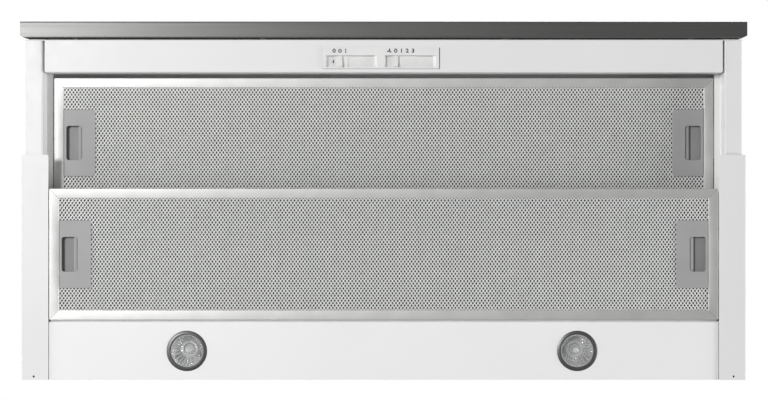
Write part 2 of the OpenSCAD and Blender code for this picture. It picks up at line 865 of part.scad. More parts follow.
// Run capacitor, hung from the motor box's top by its stud and nut
module run_capacitor() {
    top = box_top - sheet;
    color(zinc) translate([capacitor_x, box_y, 0]) {
        translate([0, 0, top - capacitor_h]) cylinder(d = capacitor_d, h = capacitor_h);
        translate([0, 0, top - 1]) cylinder(d = stud_d, h = 2 * nut_h, $fn = 24);
        translate([0, 0, box_top]) cylinder(d = nut_d, h = nut_h, $fn = 6);
    }
}

// Terminal box on the motor box's right wall, open towards its lid
module terminal_box() {
    x1 = box_w / 2 - sheet;
    wall = 2;
    color(grey) difference() {
        translate([x1 - terminal_w, box_y - terminal_l / 2, gland_z - terminal_h / 2])
            cube([terminal_w, terminal_l, terminal_h]);
        translate([x1 - terminal_w - 1, box_y - terminal_l / 2 + wall,
            gland_z - terminal_h / 2 + wall])
            cube([terminal_w - wall + 1, terminal_l - 2 * wall, terminal_h - 2 * wall]);
        translate([x1 - 5, box_y, gland_z]) rotate([0, 90, 0])
            cylinder(d = gland_d + 0.6, h = 6, $fn = 32);
    }
}

// Lid of the terminal box
module terminal_lid() {
    x0 = box_w / 2 - sheet - terminal_w - 2;
    color(grey) translate([x0, box_y - terminal_l / 2, gland_z - terminal_h / 2])
        cube([2, terminal_l, terminal_h]);
}

// Cable gland in the motor box's right wall: thread, six sided body and clamping dome
module cable_gland() {
    x1 = box_w / 2;
    color(dark) translate([x1, box_y, gland_z]) rotate([0, 90, 0]) difference() {
        union() {
            translate([0, 0, -gland_thread_l])
                cylinder(d = gland_d, h = gland_thread_l + 1, $fn = 32);
            cylinder(d = 1.5 * gland_d, h = gland_nut_h, $fn = 6);
            translate([0, 0, gland_nut_h])
                cylinder(d = 1.3 * gland_d, h = gland_head - gland_nut_h, $fn = 48);
        }
        translate([0, 0, -gland_thread_l - 1])
            cylinder(d = gland_bore, h = gland_thread_l + gland_head + 2, $fn = 48);
    }
}

// Pan head screws: three on each side of the deck, four on the collar's flange
module body_screws() {
    color(zinc) {
        both_sides() for (d = deck_screw_depths)
            translate([wall_x - top_flange_w / 2, back(d), deck_z + sheet]) pan_screw(6);
        at_collar_screws() translate([0, 0, collar_flange_t]) pan_screw(7);
    }
}

// A screw pointing down, the underside of its head at the origin
module pan_screw(l) {
    translate([0, 0, -l]) cylinder(d = screw_d, h = l + 0.5, $fn = 24);
    rotate_extrude($fn = 24) polygon([
        [0, 0], [screw_head_d / 2, 0], [screw_head_d / 2, screw_head_h * 0.5],
        [screw_head_d / 2 - 1, screw_head_h], [0, screw_head_h]
    ]);
}

// Runners --------------------------------------------------------------------------------

// Outer rails: steel channels on the inside of the side panels, open towards the slider
module outer_rails() {
    d0 = outer_rail_rear;
    d1 = outer_rail_rear + outer_rail_l;
    tip = web_x + rail_tip;
    z0 = rail_z - rail_h / 2;
    z1 = rail_z + rail_h / 2;
    color(zinc) both_sides()
        fold_y([[tip, z0], [wall_x, z0], [wall_x, z1], [tip, z1]], d0, d1, rail_t);
}

// Ball cages: a strip folded over both rows of balls, with a round seat for each ball
module ball_cages() {
    d0 = cage_rear;
    d1 = cage_rear + cage_l;
    color(zinc) both_sides() difference() {
        union() {
            block(cage_x1 - cage_t, cage_x1, d0, d1, rail_z - ball_r, rail_z + ball_r);
            for (s = [-1, 1])
                block(race_x - ball_d, cage_x1, d0, d1,
                    rail_z + s * ball_r - cage_t / 2, rail_z + s * ball_r + cage_t / 2);
        }
        for (s = [-1, 1]) at_balls(s) cylinder(d = ball_d + 2 * ball_play, h = 4, center = true,
            $fn = 24);
    }
}

// The places of one row of balls in the right cage
module at_balls(s) {
    step = cage_l / balls;
    for (i = [0:balls - 1])
        translate([race_x, back(cage_rear + step * (i + 0.5)), rail_z + s * ball_r]) children();
}

module bearing_balls() {
    color(steel) both_sides() for (s = [-1, 1]) at_balls(s) sphere(d = ball_d, $fn = 24);
}

// Inner rails: narrower channels on the slider's arms, their flanges between the balls
module inner_rails() {
    d0 = inner_rail_rear;
    d1 = inner_rail_rear + inner_rail_l;
    tip = cage_x1 - cage_t - play - ball_play;
    z0 = rail_z - inner_race;
    z1 = rail_z + inner_race;
    color(zinc) both_sides()
        fold_y([[tip, z1], [web_x, z1], [web_x, z0], [tip, z0]], d0, d1, rail_t);
}

// Slider ---------------------------------------------------------------------------------

// Right arm: ledge up to the front box, inner wall, bottom strip with its upturned edge,
// and the runner's web
module slider_arm() {
    color(white) {
        difference() {
            fold_y([
                [flange_x, ledge_z], [arm_in_x, ledge_z], [arm_in_x, arm_z], [arm_x, arm_z],
                [arm_x, arm_z + arm_lip_h]
            ], arm_rear, arm_front);
            block(0, arm_in_x, box_rear - seam, hood_d, 0, body_h);
        }
        block(web_x - sheet, web_x, arm_rear, arm_front, arm_z, ledge_z + sheet);
    }
}

module right_arm() slider_arm();
module left_arm() mirror([1, 0, 0]) slider_arm();

// Front box: a long tray behind the fascia, its front wall wide enough for both arms
module front_box() {
    x = front_box_x;
    well_w = slot_pitch + slot_w + 2 * well_wall;
    well_d = slot_d + 2 * well_wall;
    color(white) difference() {
        union() {
            intersection() {
                union() {
                    fold_x([
                        [back(box_rear + front_box_hem), ledge_z], [back(box_rear + sheet), ledge_z],
                        [back(box_rear + sheet), front_box_z + sheet],
                        [back(box_front - sheet), front_box_z + sheet],
                        [back(box_front - sheet), top_z]
                    ], -x, x);
                    both_sides() block(x - sheet, x, box_rear + sheet, box_front - sheet,
                        front_box_z + sheet, ledge_z + sheet);
                }
                translate([0, back(box_rear + front_box_d), 0])
                    linear_extrude(body_h) round_rect(2 * x, 2 * front_box_d, front_box_r);
            }
            block(-arm_x, arm_x, box_front - sheet, box_front, arm_z, top_z);
        }
        translate([plate_x - well_w / 2 - play, slot_y - well_d / 2 - play, front_box_z - 1])
            cube([well_w + 2 * play, well_d + 2 * play, sheet + 2]);
        at_fascia_screws() rotate([90, 0, 0])
            cylinder(d = screw_d + 2 * screw_play, h = 4, center = true, $fn = 24);
    }
}

// The places of the fascia's screws on the outside of the front box
module at_fascia_screws() {
    for (x = fascia_screw_x) translate([x, back(box_front), fascia_screw_z]) children();
}

// Outline of the fascia's bottom and top sheets, its rear corners cut
module fascia_outline() {
    w = fascia_w / 2;
    polygon([
        [-w, 0], [w, 0], [w, fascia_d - fascia_cut], [w - 2 * fascia_cut, fascia_d],
        [-w + 2 * fascia_cut, fascia_d], [-w, fascia_d - fascia_cut]
    ]);
}

// Fascia: a stainless strip folded round the front, with a lip along both rear edges
module fascia() {
    w = fascia_w / 2;
    front = -rear_y;
    color(steel) difference() {
        union() {
            intersection() {
                fold_x([
                    [front + fascia_d, fascia_h - fascia_lip], [front + fascia_d, fascia_h],
                    [front, fascia_h], [front, 0], [front + fascia_d, 0],
                    [front + fascia_d, fascia_lip]
                ], -w, w);
                translate([0, front, 0]) linear_extrude(fascia_h) fascia_outline();
            }
            both_sides() translate([w - sheet, front + sheet, sheet])
                cube([sheet, fascia_d - fascia_cut - sheet, fascia_h - 2 * sheet]);
        }
        at_fascia_screws() rotate([90, 0, 0])
            cylinder(d = screw_d + 2 * screw_play, h = 8, center = true, $fn = 24);
    }
}

// Spacer rings between the fascia's lip and the front box
module fascia_spacers() {
    color(dark) at_fascia_screws() rotate([90, 0, 0]) difference() {
        cylinder(d = screw_head_d, h = fascia_gap, $fn = 32);
        translate([0, 0, -1]) cylinder(d = screw_d + 2 * screw_play, h = fascia_gap + 2, $fn = 24);
    }
}

// Screws that hold the fascia, their heads inside the front box
module fascia_screws() {
    color(zinc) at_fascia_screws() translate([0, sheet, 0]) rotate([-90, 0, 0]) pan_screw(6);
}

// Slider top: the sheet that closes the slider's duct above its filter, open to the rear,
// its sides folded down to stand on the arms' ledges
module slider_top() {
    z = top_z + sheet;
    color(white) difference() {
        fold_y([[top_x, ledge_z + sheet], [top_x, z], [-top_x, z], [-top_x, ledge_z + sheet]],
            rear_bar_front + seam, box_front);
        block(-body_w, body_w, arm_front, box_front + 1, 0, top_z);
    }
}

// Rear bar: an angle across the arms' ledges, behind the slider's filter
module rear_bar() {
    x = arm_in_x - play;
    z = ledge_z + sheet;
    d1 = rear_bar_front;
    tab_seat = ledge_z + filter_t - frame_t - play;
    color(white)
        fold_x([[back(d1), tab_seat], [back(d1), z], [back(d1 - rear_bar_d), z]], -x, x);
}

// Controls -------------------------------------------------------------------------------

// Control plate: a moulded plate with two sunk slots, slit for the knobs' stems
module control_plate() {
    color(white) difference() {
        union() {
            translate([plate_x, plate_y, plate_z]) linear_extrude(plate_t)
                round_rect(plate_w, plate_d, 1);
            for (s = [-1, 1])
                translate([plate_x + s * slot_pitch / 2, slot_y, (plate_z + well_top) / 2])
                    cube([slot_w + 2 * well_wall, slot_d + 2 * well_wall, well_top - plate_z],
                        center = true);
        }
        for (s = [-1, 1]) translate([plate_x + s * slot_pitch / 2, slot_y, plate_z]) slot();
        slit(light_x - notch, light_x + notch);
        slit(fan_x, fan_x + 3 * notch);
    }
}

// A slot cut in from the plate's face, its ends sloped
module slot() {
    floor_x = slot_w / 2 - slot_taper;
    rotate([90, 0, 0]) linear_extrude(slot_d, center = true) polygon([
        [-slot_w / 2, -1], [slot_w / 2, -1], [slot_w / 2, 0], [floor_x, slot_h], [-floor_x, slot_h],
        [-slot_w / 2, 0]
    ]);
}

// Slit for a stem that slides from x0 to x1
module slit(x0, x1) {
    w = stem_w + 2 * play;
    d = stem_d + 2 * play;
    translate([x0 - w / 2, slot_y - d / 2, slot_floor - 1]) cube([x1 - x0 + w, d, well_wall + 2]);
}

// Switch blocks on top of the slots, hollow below for the knobs' carriers
module switch_blocks() {
    w = slot_w - 4;
    d = slot_d;
    color(dark) for (s = [-1, 1])
        translate([plate_x + s * slot_pitch / 2, slot_y, well_top]) difference() {
            translate([-w / 2, -d / 2, 0]) cube([w, d, block_h]);
            translate([-w / 2 + 1, -carrier_w / 2 - play, -1])
                cube([w - 2, carrier_w + 2 * play, 1 + carrier_t + 2 * play]);
        }
}

// A knob: a fin in the slot, wider at the rear, the shutter at its foot that reaches over
// the slit, its stem and the carrier behind
module knob(x, reach) {
    l = slot_d - 2 * play;
    tip = plate_z - 0.4;
    color(white) translate([x, slot_y, 0]) {
        translate([-shutter_side, -l / 2, slot_floor - play - shutter_t])
            cube([shutter_side + reach, l, shutter_t]);
        translate([0, 0, tip]) linear_extrude(slot_floor - play - tip) polygon([
            [-knob_w * 0.42, -l / 2], [knob_w * 0.42, -l / 2],
            [knob_w / 2, l / 2], [-knob_w / 2, l / 2]
        ]);
        translate([-stem_w / 2, -stem_d / 2, slot_floor - 1])
            cube([stem_w, stem_d, well_wall + play + 1.5]);
        translate([-carrier_w / 2, -carrier_w / 2, well_top + play])
            cube([carrier_w, carrier_w, carrier_t]);
    }
}

module light_knob() knob(light_x, light_shutter);
module fan_knob() knob(fan_x, fan_shutter);

// Filters --------------------------------------------------------------------------------

module at_fixed_filter() translate([0, fixed_filter_y, 0]) children();
module at_slider_filter() translate([0, slider_filter_y, ledge_z]) children();

// Flat outline of one frame bar: length l outside, width b, both ends cut at 45 degrees
module mitred(l, b) {
    g = mitre * sqrt(2);
    polygon([[-l / 2 + g, 0], [l / 2 - g, 0], [l / 2 - b - g, b], [-l / 2 + b + g, b]]);
}

// A frame bar: a channel open towards the middle of the filter
module frame_bar(l) {
    intersection() {
        fold_x([[band, filter_t], [0, filter_t], [0, 0], [band, 0]], -l / 2, l / 2, frame_t);
        linear_extrude(filter_t) mitred(l, band);
    }
}

// Filter frame: four mitred channels, tabs at the rear, a slot for each latch's tongue
module filter_frame() {
    color(alu) {
        translate([0, -filter_d / 2, 0]) frame_bar(filter_w);
        translate([0, filter_d / 2, 0]) {
            rotate(180) frame_bar(filter_w);
            for (x = [-filter_w / 4, 0, filter_w / 4])
                translate([x - tab_w / 2, -1, filter_t - frame_t]) cube([tab_w, 1 + tab_l, frame_t]);
        }
        both_sides() difference() {
            translate([edge_x, 0, 0]) rotate(90) frame_bar(filter_d);
            translate([edge_x - 2 * frame_t, -tongue_w / 2 - play, frame_t])
                cube([3 * frame_t, tongue_w + 2 * play, latch_z + latch_t - frame_t + play]);
        }
    }
}

// Outline of the sheets and the pad inside the frame, cut round both handles
module filling_outline() {
    w = filter_w - 2 * frame_t - 2 * play;
    d = filter_d - 2 * frame_t - 2 * play;
    difference() {
        square([w, d], center = true);
        both_sides() {
            translate([cover_x0 - play, -cover_l / 2 - play])
                square([cover_w + 2 * play + 4, cover_l + 2 * play]);
            translate([cover_x0, -tongue_w / 2 - 2 * play])
                square([edge_x, tongue_w + 4 * play]);
        }
    }
}

// Expanded metal sheet: rows of six sided gaps, every second row shifted by half a pitch
module mesh_sheet(pitch, row) {
    w = filter_w - 2 * band;
    d = filter_d - 2 * band;
    cols = floor(w / pitch / 2) - 1;
    rows = floor((d / row - 1) / 2);
    linear_extrude(mesh_t) difference() {
        filling_outline();
        for (j = [-rows:rows], i = [-cols:cols]) {
            x = (i + (abs(j) % 2) / 2) * pitch;
            y = j * row;
            clear = abs(x) < cover_x0 - mesh_gap_w || abs(y) > cover_l / 2 + mesh_gap_d / 2 + 1;
            if (clear) translate([x, y]) polygon([
                [-mesh_gap_w / 2, 0], [-mesh_gap_w / 6, -mesh_gap_d / 2],
                [mesh_gap_w / 6, -mesh_gap_d / 2], [mesh_gap_w / 2, 0],
                [mesh_gap_w / 6, mesh_gap_d / 2], [-mesh_gap_w / 6, mesh_gap_d / 2]
            ]);
        }
    }
}

module filter_face() color(alu) translate([0, 0, frame_t]) mesh_sheet(mesh_pitch, mesh_row);

module filter_back()
    color(alu) translate([0, 0, filter_t - frame_t - mesh_t])
        mesh_sheet(2 * mesh_pitch, 1.5 * mesh_row);

// Knitted wire pad between the two sheets, drawn as one block
module filter_core() {
    color(zinc) translate([0, 0, frame_t + mesh_t])
        linear_extrude(filter_t - 2 * frame_t - 2 * mesh_t) filling_outline();
}

// Handle covers: plate with a finger window, ears under the frame's lip, pocket behind
module handle_cover() {
    mid = (cover_x0 + cover_x1) / 2;
    inner_l = pocket_l - 2 * pocket_wall;
    color(grey) difference() {
        union() {
            translate([mid, 0, cover_z]) linear_extrude(cover_t) {
                round_rect(cover_w, cover_l, cover_r);
                translate([0, -cover_l / 2]) square([cover_w / 2, cover_l]);
            }
            for (s = [-1, 1])
                translate([cover_x1 - 1, s * (cover_l / 2 - ear_l) - ear_l / 2, frame_t])
                    cube([1 + ear_reach, ear_l, cover_top - frame_t]);
            translate([pocket_x0, -pocket_l / 2, cover_top - 0.5])
                cube([cover_x1 - pocket_x0, pocket_l, pocket_top - cover_top + 0.5]);
        }
        translate([(window_x0 + window_x1) / 2, 0, -1]) linear_extrude(cover_top + 2)
            round_rect(window_w, window_l, window_r);
        translate([pocket_x0 + pocket_wall, -inner_l / 2, cover_top])
            cube([cover_w, inner_l, pocket_top - roof_t - cover_top]);
    }
}

// Latch: two slides joined by the finger lip inside and by the stepped tongue outside
module latch() {
    half = pocket_l / 2 - pocket_wall - play;
    slide_w = half - window_l / 2 - play;
    lip_h = pocket_top - roof_t - play - latch_z;
    color(grey) {
        for (s = [0, 1]) mirror([0, s, 0])
            translate([lip_x0, half - slide_w, latch_z])
                cube([tongue_x0 + bar_t - lip_x0, slide_w, latch_t]);
        translate([lip_x0, -half, latch_z]) cube([lip_t, 2 * half, latch_t]);
        translate([lip_x0, -window_l / 2 + play, latch_z])
            cube([lip_t, window_l - 2 * play, lip_h]);
        translate([tongue_x0, -half, latch_z]) cube([bar_t, 2 * half, latch_t]);
        translate([tongue_x0, -tongue_w / 2, latch_z])
            cube([tongue_x1 - tongue_x0, tongue_w, latch_t]);
        translate([hook_x0, -tongue_w / 2, hook_z])
            cube([tongue_x1 - hook_x0, tongue_w, latch_z + latch_t - hook_z]);
    }
}

// A coil as one unbroken tube along X: n turns between x0 and x1 on radius r
module coil(x0, x1, r, wire, turns) {
    per_turn = 8;
    sides = 6;
    rings = turns * per_turn;
    function at(i, k) = let (
        a = 360 * i / per_turn,
        b = 360 * k / sides,
        rr = r + wire / 2 * cos(b)
    ) [x0 + wire / 2 + (x1 - x0 - wire) * i / rings + wire / 2 * sin(b), rr * cos(a), rr * sin(a)];
    points = [for (i = [0:rings], k = [0:sides - 1]) at(i, k)];
    skin = [for (i = [0:rings - 1], k = [0:sides - 1]) let (
        p = i * sides + k,
        q = i * sides + (k + 1) % sides
    ) each [[p, q, q + sides], [p, q + sides, p + sides]]];
    ends = [
        for (k = [1:sides - 2]) [0, k + 1, k],
        for (k = [1:sides - 2]) [rings * sides, rings * sides + k, rings * sides + k + 1]
    ];
    polyhedron(points, concat(skin, ends));
}

// Compression spring between the pocket's inner wall and the latch's finger lip
module latch_spring() {
    z = (cover_top + pocket_top - roof_t) / 2;
    color(steel) translate([0, 0, z])
        coil(pocket_x0 + pocket_wall + 0.1, lip_x0 - 0.1, (spring_d - spring_wire) / 2,
            spring_wire, spring_turns);
}

module fixed_filter_frame() at_fixed_filter() filter_frame();
module fixed_filter_face() at_fixed_filter() filter_face();
module fixed_filter_core() at_fixed_filter() filter_core();
module fixed_filter_back() at_fixed_filter() filter_back();
module fixed_handle_covers() at_fixed_filter() both_sides() handle_cover();
module fixed_latch_right() at_fixed_filter() latch();
module fixed_latch_left() at_fixed_filter() mirror([1, 0, 0]) latch();
module fixed_spring_right() at_fixed_filter() latch_spring();
module fixed_spring_left() at_fixed_filter() mirror([1, 0, 0]) latch_spring();
module slider_filter_frame() at_slider_filter() filter_frame();
module slider_filter_face() at_slider_filter() filter_face();
module slider_filter_core() at_slider_filter() filter_core();
module slider_filter_back() at_slider_filter() filter_back();
module slider_handle_covers() at_slider_filter() both_sides() handle_cover();
module slider_latch_right() at_slider_filter() latch();
module slider_latch_left() at_slider_filter() mirror([1, 0, 0]) latch();
module slider_spring_right() at_slider_filter() latch_spring();
module slider_spring_left() at_slider_filter() mirror([1, 0, 0]) latch_spring();

left_side_panel();
right_side_panel();
back_panel();
deck();
front_bridge();
light_panel();
lamp_bezels();
lamp_glasses();
lamp_reflectors();
lamp_bulbs();
lamp_holders();
motor_box();
duct_collar();
flap_front();
flap_rear();
volute_left();
volute_right();
impeller();
motor_shaft();
motor_case();
motor_bracket();
run_capacitor();
terminal_box();
terminal_lid();
cable_gland();
body_screws();
outer_rails();
ball_cages();
bearing_balls();
inner_rails();
left_arm();
right_arm();
front_box();
fascia();
fascia_spacers();
fascia_screws();
slider_top();
rear_bar();
control_plate();
switch_blocks();
light_knob();
fan_knob();
fixed_filter_frame();
fixed_filter_face();
fixed_filter_core();
fixed_filter_back();
fixed_handle_covers();
fixed_latch_left();
fixed_latch_right();
fixed_spring_left();
fixed_spring_right();
slider_filter_frame();
slider_filter_face();
slider_filter_core();
slider_filter_back();
slider_handle_covers();
slider_latch_left();
slider_latch_right();
slider_spring_left();
slider_spring_right();
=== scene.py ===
# Pull out range hood for a 90 cm wall cabinet, hung in the air with its slider drawn out
# and seen from straight below, so that the front is at the top of the picture.
import math

import bmesh
import bpy
from mathutils import Matrix, Vector


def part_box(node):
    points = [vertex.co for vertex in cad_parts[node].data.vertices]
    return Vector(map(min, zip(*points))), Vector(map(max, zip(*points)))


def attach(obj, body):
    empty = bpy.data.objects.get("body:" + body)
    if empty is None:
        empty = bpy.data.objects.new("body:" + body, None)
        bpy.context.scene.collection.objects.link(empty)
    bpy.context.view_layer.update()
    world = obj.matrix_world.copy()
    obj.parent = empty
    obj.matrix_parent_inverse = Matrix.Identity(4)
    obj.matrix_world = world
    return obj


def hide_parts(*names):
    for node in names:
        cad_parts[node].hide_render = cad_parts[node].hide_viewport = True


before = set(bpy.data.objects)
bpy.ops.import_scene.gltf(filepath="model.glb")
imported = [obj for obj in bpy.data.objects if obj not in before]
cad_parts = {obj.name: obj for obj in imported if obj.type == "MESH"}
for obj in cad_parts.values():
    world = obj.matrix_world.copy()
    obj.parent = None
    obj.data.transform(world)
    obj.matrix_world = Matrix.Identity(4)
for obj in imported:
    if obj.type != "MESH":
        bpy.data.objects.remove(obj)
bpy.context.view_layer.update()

# ---------------------------------------------------------------------------------------
# Body sheets: 1 mm steel, cut and folded, then powder coated white, with the fine ripple
# that the coat leaves. The side panels, back, deck, bridge and light panel are the imported
# solids. So is the motor box above them.

coat_spread = 0.015
coat_ripple = 0.00003
pattern_low = 0.3
pattern_high = 0.7


def new_finish(name, colour, rough, metal=0.0):
    """A material with its colour, roughness and metal share set on the shader itself."""
    finish = bpy.data.materials.new(name)
    finish.use_nodes = True
    shader = finish.node_tree.nodes["Principled BSDF"]
    shader.inputs["Base Color"].default_value = (*colour, 1.0)
    shader.inputs["Roughness"].default_value = rough
    shader.inputs["Metallic"].default_value = metal
    return finish, finish.node_tree, shader


def grain(tree, scale, detail=2.0, stretch=(1, 1, 1)):
    """A noise in the object's own metres.

    Scale is grains to the metre, and stretch multiplies it along X, Y and Z.
    """
    place = tree.nodes.new("ShaderNodeTexCoord")
    fit_axes = tree.nodes.new("ShaderNodeMapping")
    fit_axes.inputs["Scale"].default_value = stretch
    noise = tree.nodes.new("ShaderNodeTexNoise")
    noise.inputs["Scale"].default_value = scale
    noise.inputs["Detail"].default_value = detail
    tree.links.new(place.outputs["Object"], fit_axes.inputs["Vector"])
    tree.links.new(fit_axes.outputs["Vector"], noise.inputs["Vector"])
    return noise.outputs["Fac"]


def shade_range(tree, fac, low, high, socket):
    """Runs a socket between two colours along a pattern."""
    ramp = tree.nodes.new("ShaderNodeValToRGB")
    ramp.color_ramp.elements[0].position = pattern_low
    ramp.color_ramp.elements[1].position = pattern_high
    ramp.color_ramp.elements[0].color = (*low, 1.0)
    ramp.color_ramp.elements[1].color = (*high, 1.0)
    tree.links.new(fac, ramp.inputs["Fac"])
    tree.links.new(ramp.outputs["Color"], socket)


def number_range(tree, fac, low, high, socket):
    """Runs a socket between two numbers along a pattern."""
    span = tree.nodes.new("ShaderNodeMapRange")
    span.inputs["From Min"].default_value = pattern_low
    span.inputs["From Max"].default_value = pattern_high
    span.inputs["To Min"].default_value = low
    span.inputs["To Max"].default_value = high
    tree.links.new(fac, span.inputs["Value"])
    tree.links.new(span.outputs["Result"], socket)


def ripple(tree, shader, fac, depth, strength=1.0):
    """Relief of the given depth in metres from a pattern."""
    bump = tree.nodes.new("ShaderNodeBump")
    bump.inputs["Strength"].default_value = strength
    bump.inputs["Distance"].default_value = depth
    tree.links.new(fac, bump.inputs["Height"])
    tree.links.new(bump.outputs["Normal"], shader.inputs["Normal"])


def powder_coat(name, tone):
    """White paint baked on from powder, not quite even in tone, gloss and level."""
    finish, tree, shader = new_finish(name, (tone, tone, tone), 0.42)
    ripple(tree, shader, grain(tree, 520, detail=1.5), coat_ripple)
    low, high = tone - coat_spread, tone + coat_spread
    shade_range(tree, grain(tree, 5, detail=3), (low, low, low), (high, high, high),
                shader.inputs["Base Color"])
    number_range(tree, grain(tree, 90), 0.36, 0.48, shader.inputs["Roughness"])
    return finish


def dress(finish, *names):
    """Puts a finish on CAD nodes that stay as they are."""
    for name in names:
        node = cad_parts[name]
        if not node.material_slots:
            node.data.materials.append(finish)
        for held in node.material_slots:
            held.material = finish


white = powder_coat("white_powder_coat", 0.80)
# The light panel takes a lighter copy of the same white coat: painted light, which evens out the
# key lamp's fall-off towards the rear.
panel_painted_light_white = powder_coat("light_panel_painted_light_coat", 0.89)
dress(white, "left_side_panel", "right_side_panel", "back_panel", "deck", "front_bridge",
      "motor_box")
dress(panel_painted_light_white, "light_panel")

# ---------------------------------------------------------------------------------------
# Slider sheets: the two arms, the front box, the top and the rear bar, of the same steel
# with the same coat.

dress(white, "left_arm", "right_arm", "front_box", "slider_top", "rear_bar")

# ---------------------------------------------------------------------------------------
# Ledge ends: two short steel strips that carry the arms' ledges on past the rear corners
# of the front box, with the same coat.

ledge_end = (0.4192, 0.4220)
ledge_run = (-0.1670, -0.1580)
ledge_level = (0.0300, 0.0310)


def everything(shape):
    """All of a shape, as the cutting and turning tools want it."""
    return shape.verts[:] + shape.edges[:] + shape.faces[:]


def middle_of(edge):
    """The point half way along an edge."""
    return (edge.verts[0].co + edge.verts[1].co) / 2


def block(size, middle=(0, 0, 0)):
    """A solid block of a size round its middle."""
    solid = bmesh.new()
    bmesh.ops.create_cube(solid, size=1)
    bmesh.ops.scale(solid, verts=solid.verts, vec=size)
    bmesh.ops.translate(solid, verts=solid.verts, vec=middle)
    return solid


def trim(shape, point, out):
    """Saws off what lies beyond a plane and closes the cut."""
    cut = bmesh.ops.bisect_plane(shape, geom=everything(shape), plane_co=point, plane_no=out,
                                 clear_outer=True)
    rim = [e for e in cut["geom_cut"] if isinstance(e, bmesh.types.BMEdge)]
    bmesh.ops.holes_fill(shape, edges=rim)


def score(shape, point, across):
    """Cuts the faces along a plane and takes nothing away."""
    bmesh.ops.bisect_plane(shape, geom=everything(shape), plane_co=point, plane_no=across)


def add(whole, part, place=Matrix.Identity(4)):
    """Joins a placed copy of one shape to another."""
    copy = bpy.data.meshes.new("copy")
    part.to_mesh(copy)
    copy.transform(place)
    if place.determinant() < 0:
        copy.flip_normals()
    whole.from_mesh(copy)
    bpy.data.meshes.remove(copy)


def fit(shape, name, finish, body, stands_for=(), sharp=20):
    """Makes a piece from a finished shape and seats it on the body that carries it.

    Folds of more than sharp degrees stay crisp.
    """
    mesh = bpy.data.meshes.new(name)
    shape.to_mesh(mesh)
    shape.free()
    mesh.materials.append(finish)
    mesh.shade_smooth()
    mesh.set_sharp_from_angle(angle=math.radians(sharp))
    piece = bpy.data.objects.new(name, mesh)
    bpy.context.collection.objects.link(piece)
    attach(piece, body)
    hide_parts(*stands_for)


ledge_spans = (ledge_end, ledge_run, ledge_level)
ledge_size = [high - low for low, high in ledge_spans]
ledge_middle = [(low + high) / 2 for low, high in ledge_spans]
ledges = bmesh.new()
for side in (-1, 1):
    add(ledges, block(ledge_size, (side * ledge_middle[0], ledge_middle[1], ledge_middle[2])))
fit(ledges, "ledge_ends", white, "slider")

# ---------------------------------------------------------------------------------------
# Fascia: one strip of stainless steel, brushed along its length and folded round the
# front, screwed to the front box through four black spacer rings.

scratch_depth = 0.00002
plastic_pebble = 0.00004


def brushed_stainless():
    """Steel with the fine scratches of a brush that ran along X."""
    finish, tree, shader = new_finish("brushed_stainless", (0.16, 0.16, 0.157), 0.40, 1.0)
    scratches = grain(tree, 1, detail=3, stretch=(6, 2600, 2600))
    streaks = grain(tree, 1, stretch=(3, 900, 900))
    shade_range(tree, scratches, (0.134, 0.134, 0.131), (0.184, 0.184, 0.181),
                shader.inputs["Base Color"])
    number_range(tree, streaks, 0.36, 0.44, shader.inputs["Roughness"])
    ripple(tree, shader, scratches, scratch_depth, strength=0.5)
    return finish


def moulded_plastic(name, colour, rough, pebble):
    """Injection moulded plastic: even colour with a fine pebble grain of that depth."""
    finish, tree, shader = new_finish(name, colour, rough)
    ripple(tree, shader, grain(tree, 1500), pebble)
    darker = tuple(c * 0.96 for c in colour)
    lighter = tuple(min(c * 1.03, 1.0) for c in colour)
    shade_range(tree, grain(tree, 30), darker, lighter, shader.inputs["Base Color"])
    return finish


stainless = brushed_stainless()
black_plastic = moulded_plastic("black_plastic", (0.035, 0.035, 0.037), 0.45, plastic_pebble)
dress(stainless, "fascia")
dress(black_plastic, "fascia_spacers")

# ---------------------------------------------------------------------------------------
# Filter frames: four bars of thin aluminium channel, cut at 45 degrees and folded round
# the edge of the filling. The inner edge of each bar is turned up on to the sheet, and
# the end bars are slotted for the latches.

bar_width = 0.012
bar_height = 0.009
bar_metal = 0.0005
hem_rise = 0.0009
hem_width = 0.0004
fold_radius = 0.0003
corner_cut = 0.0010
mitre_line = 0.00018
tongue_slot = (0.0406, 0.0044)
filter_size = (0.826, 0.162)
tab_size = (0.030, 0.0036)
tab_root = 0.0010
tab_round = 0.0015


def satin_aluminium():
    """Aluminium with the dull, slightly clouded skin that etching leaves."""
    finish, tree, shader = new_finish("satin_aluminium", (0.605, 0.605, 0.595), 0.47, 0.82)
    fine = grain(tree, 900)
    shade_range(tree, grain(tree, 40, detail=3), (0.575, 0.575, 0.565), (0.635, 0.635, 0.625),
                shader.inputs["Base Color"])
    number_range(tree, fine, 0.43, 0.51, shader.inputs["Roughness"])
    ripple(tree, shader, fine, scratch_depth)
    return finish


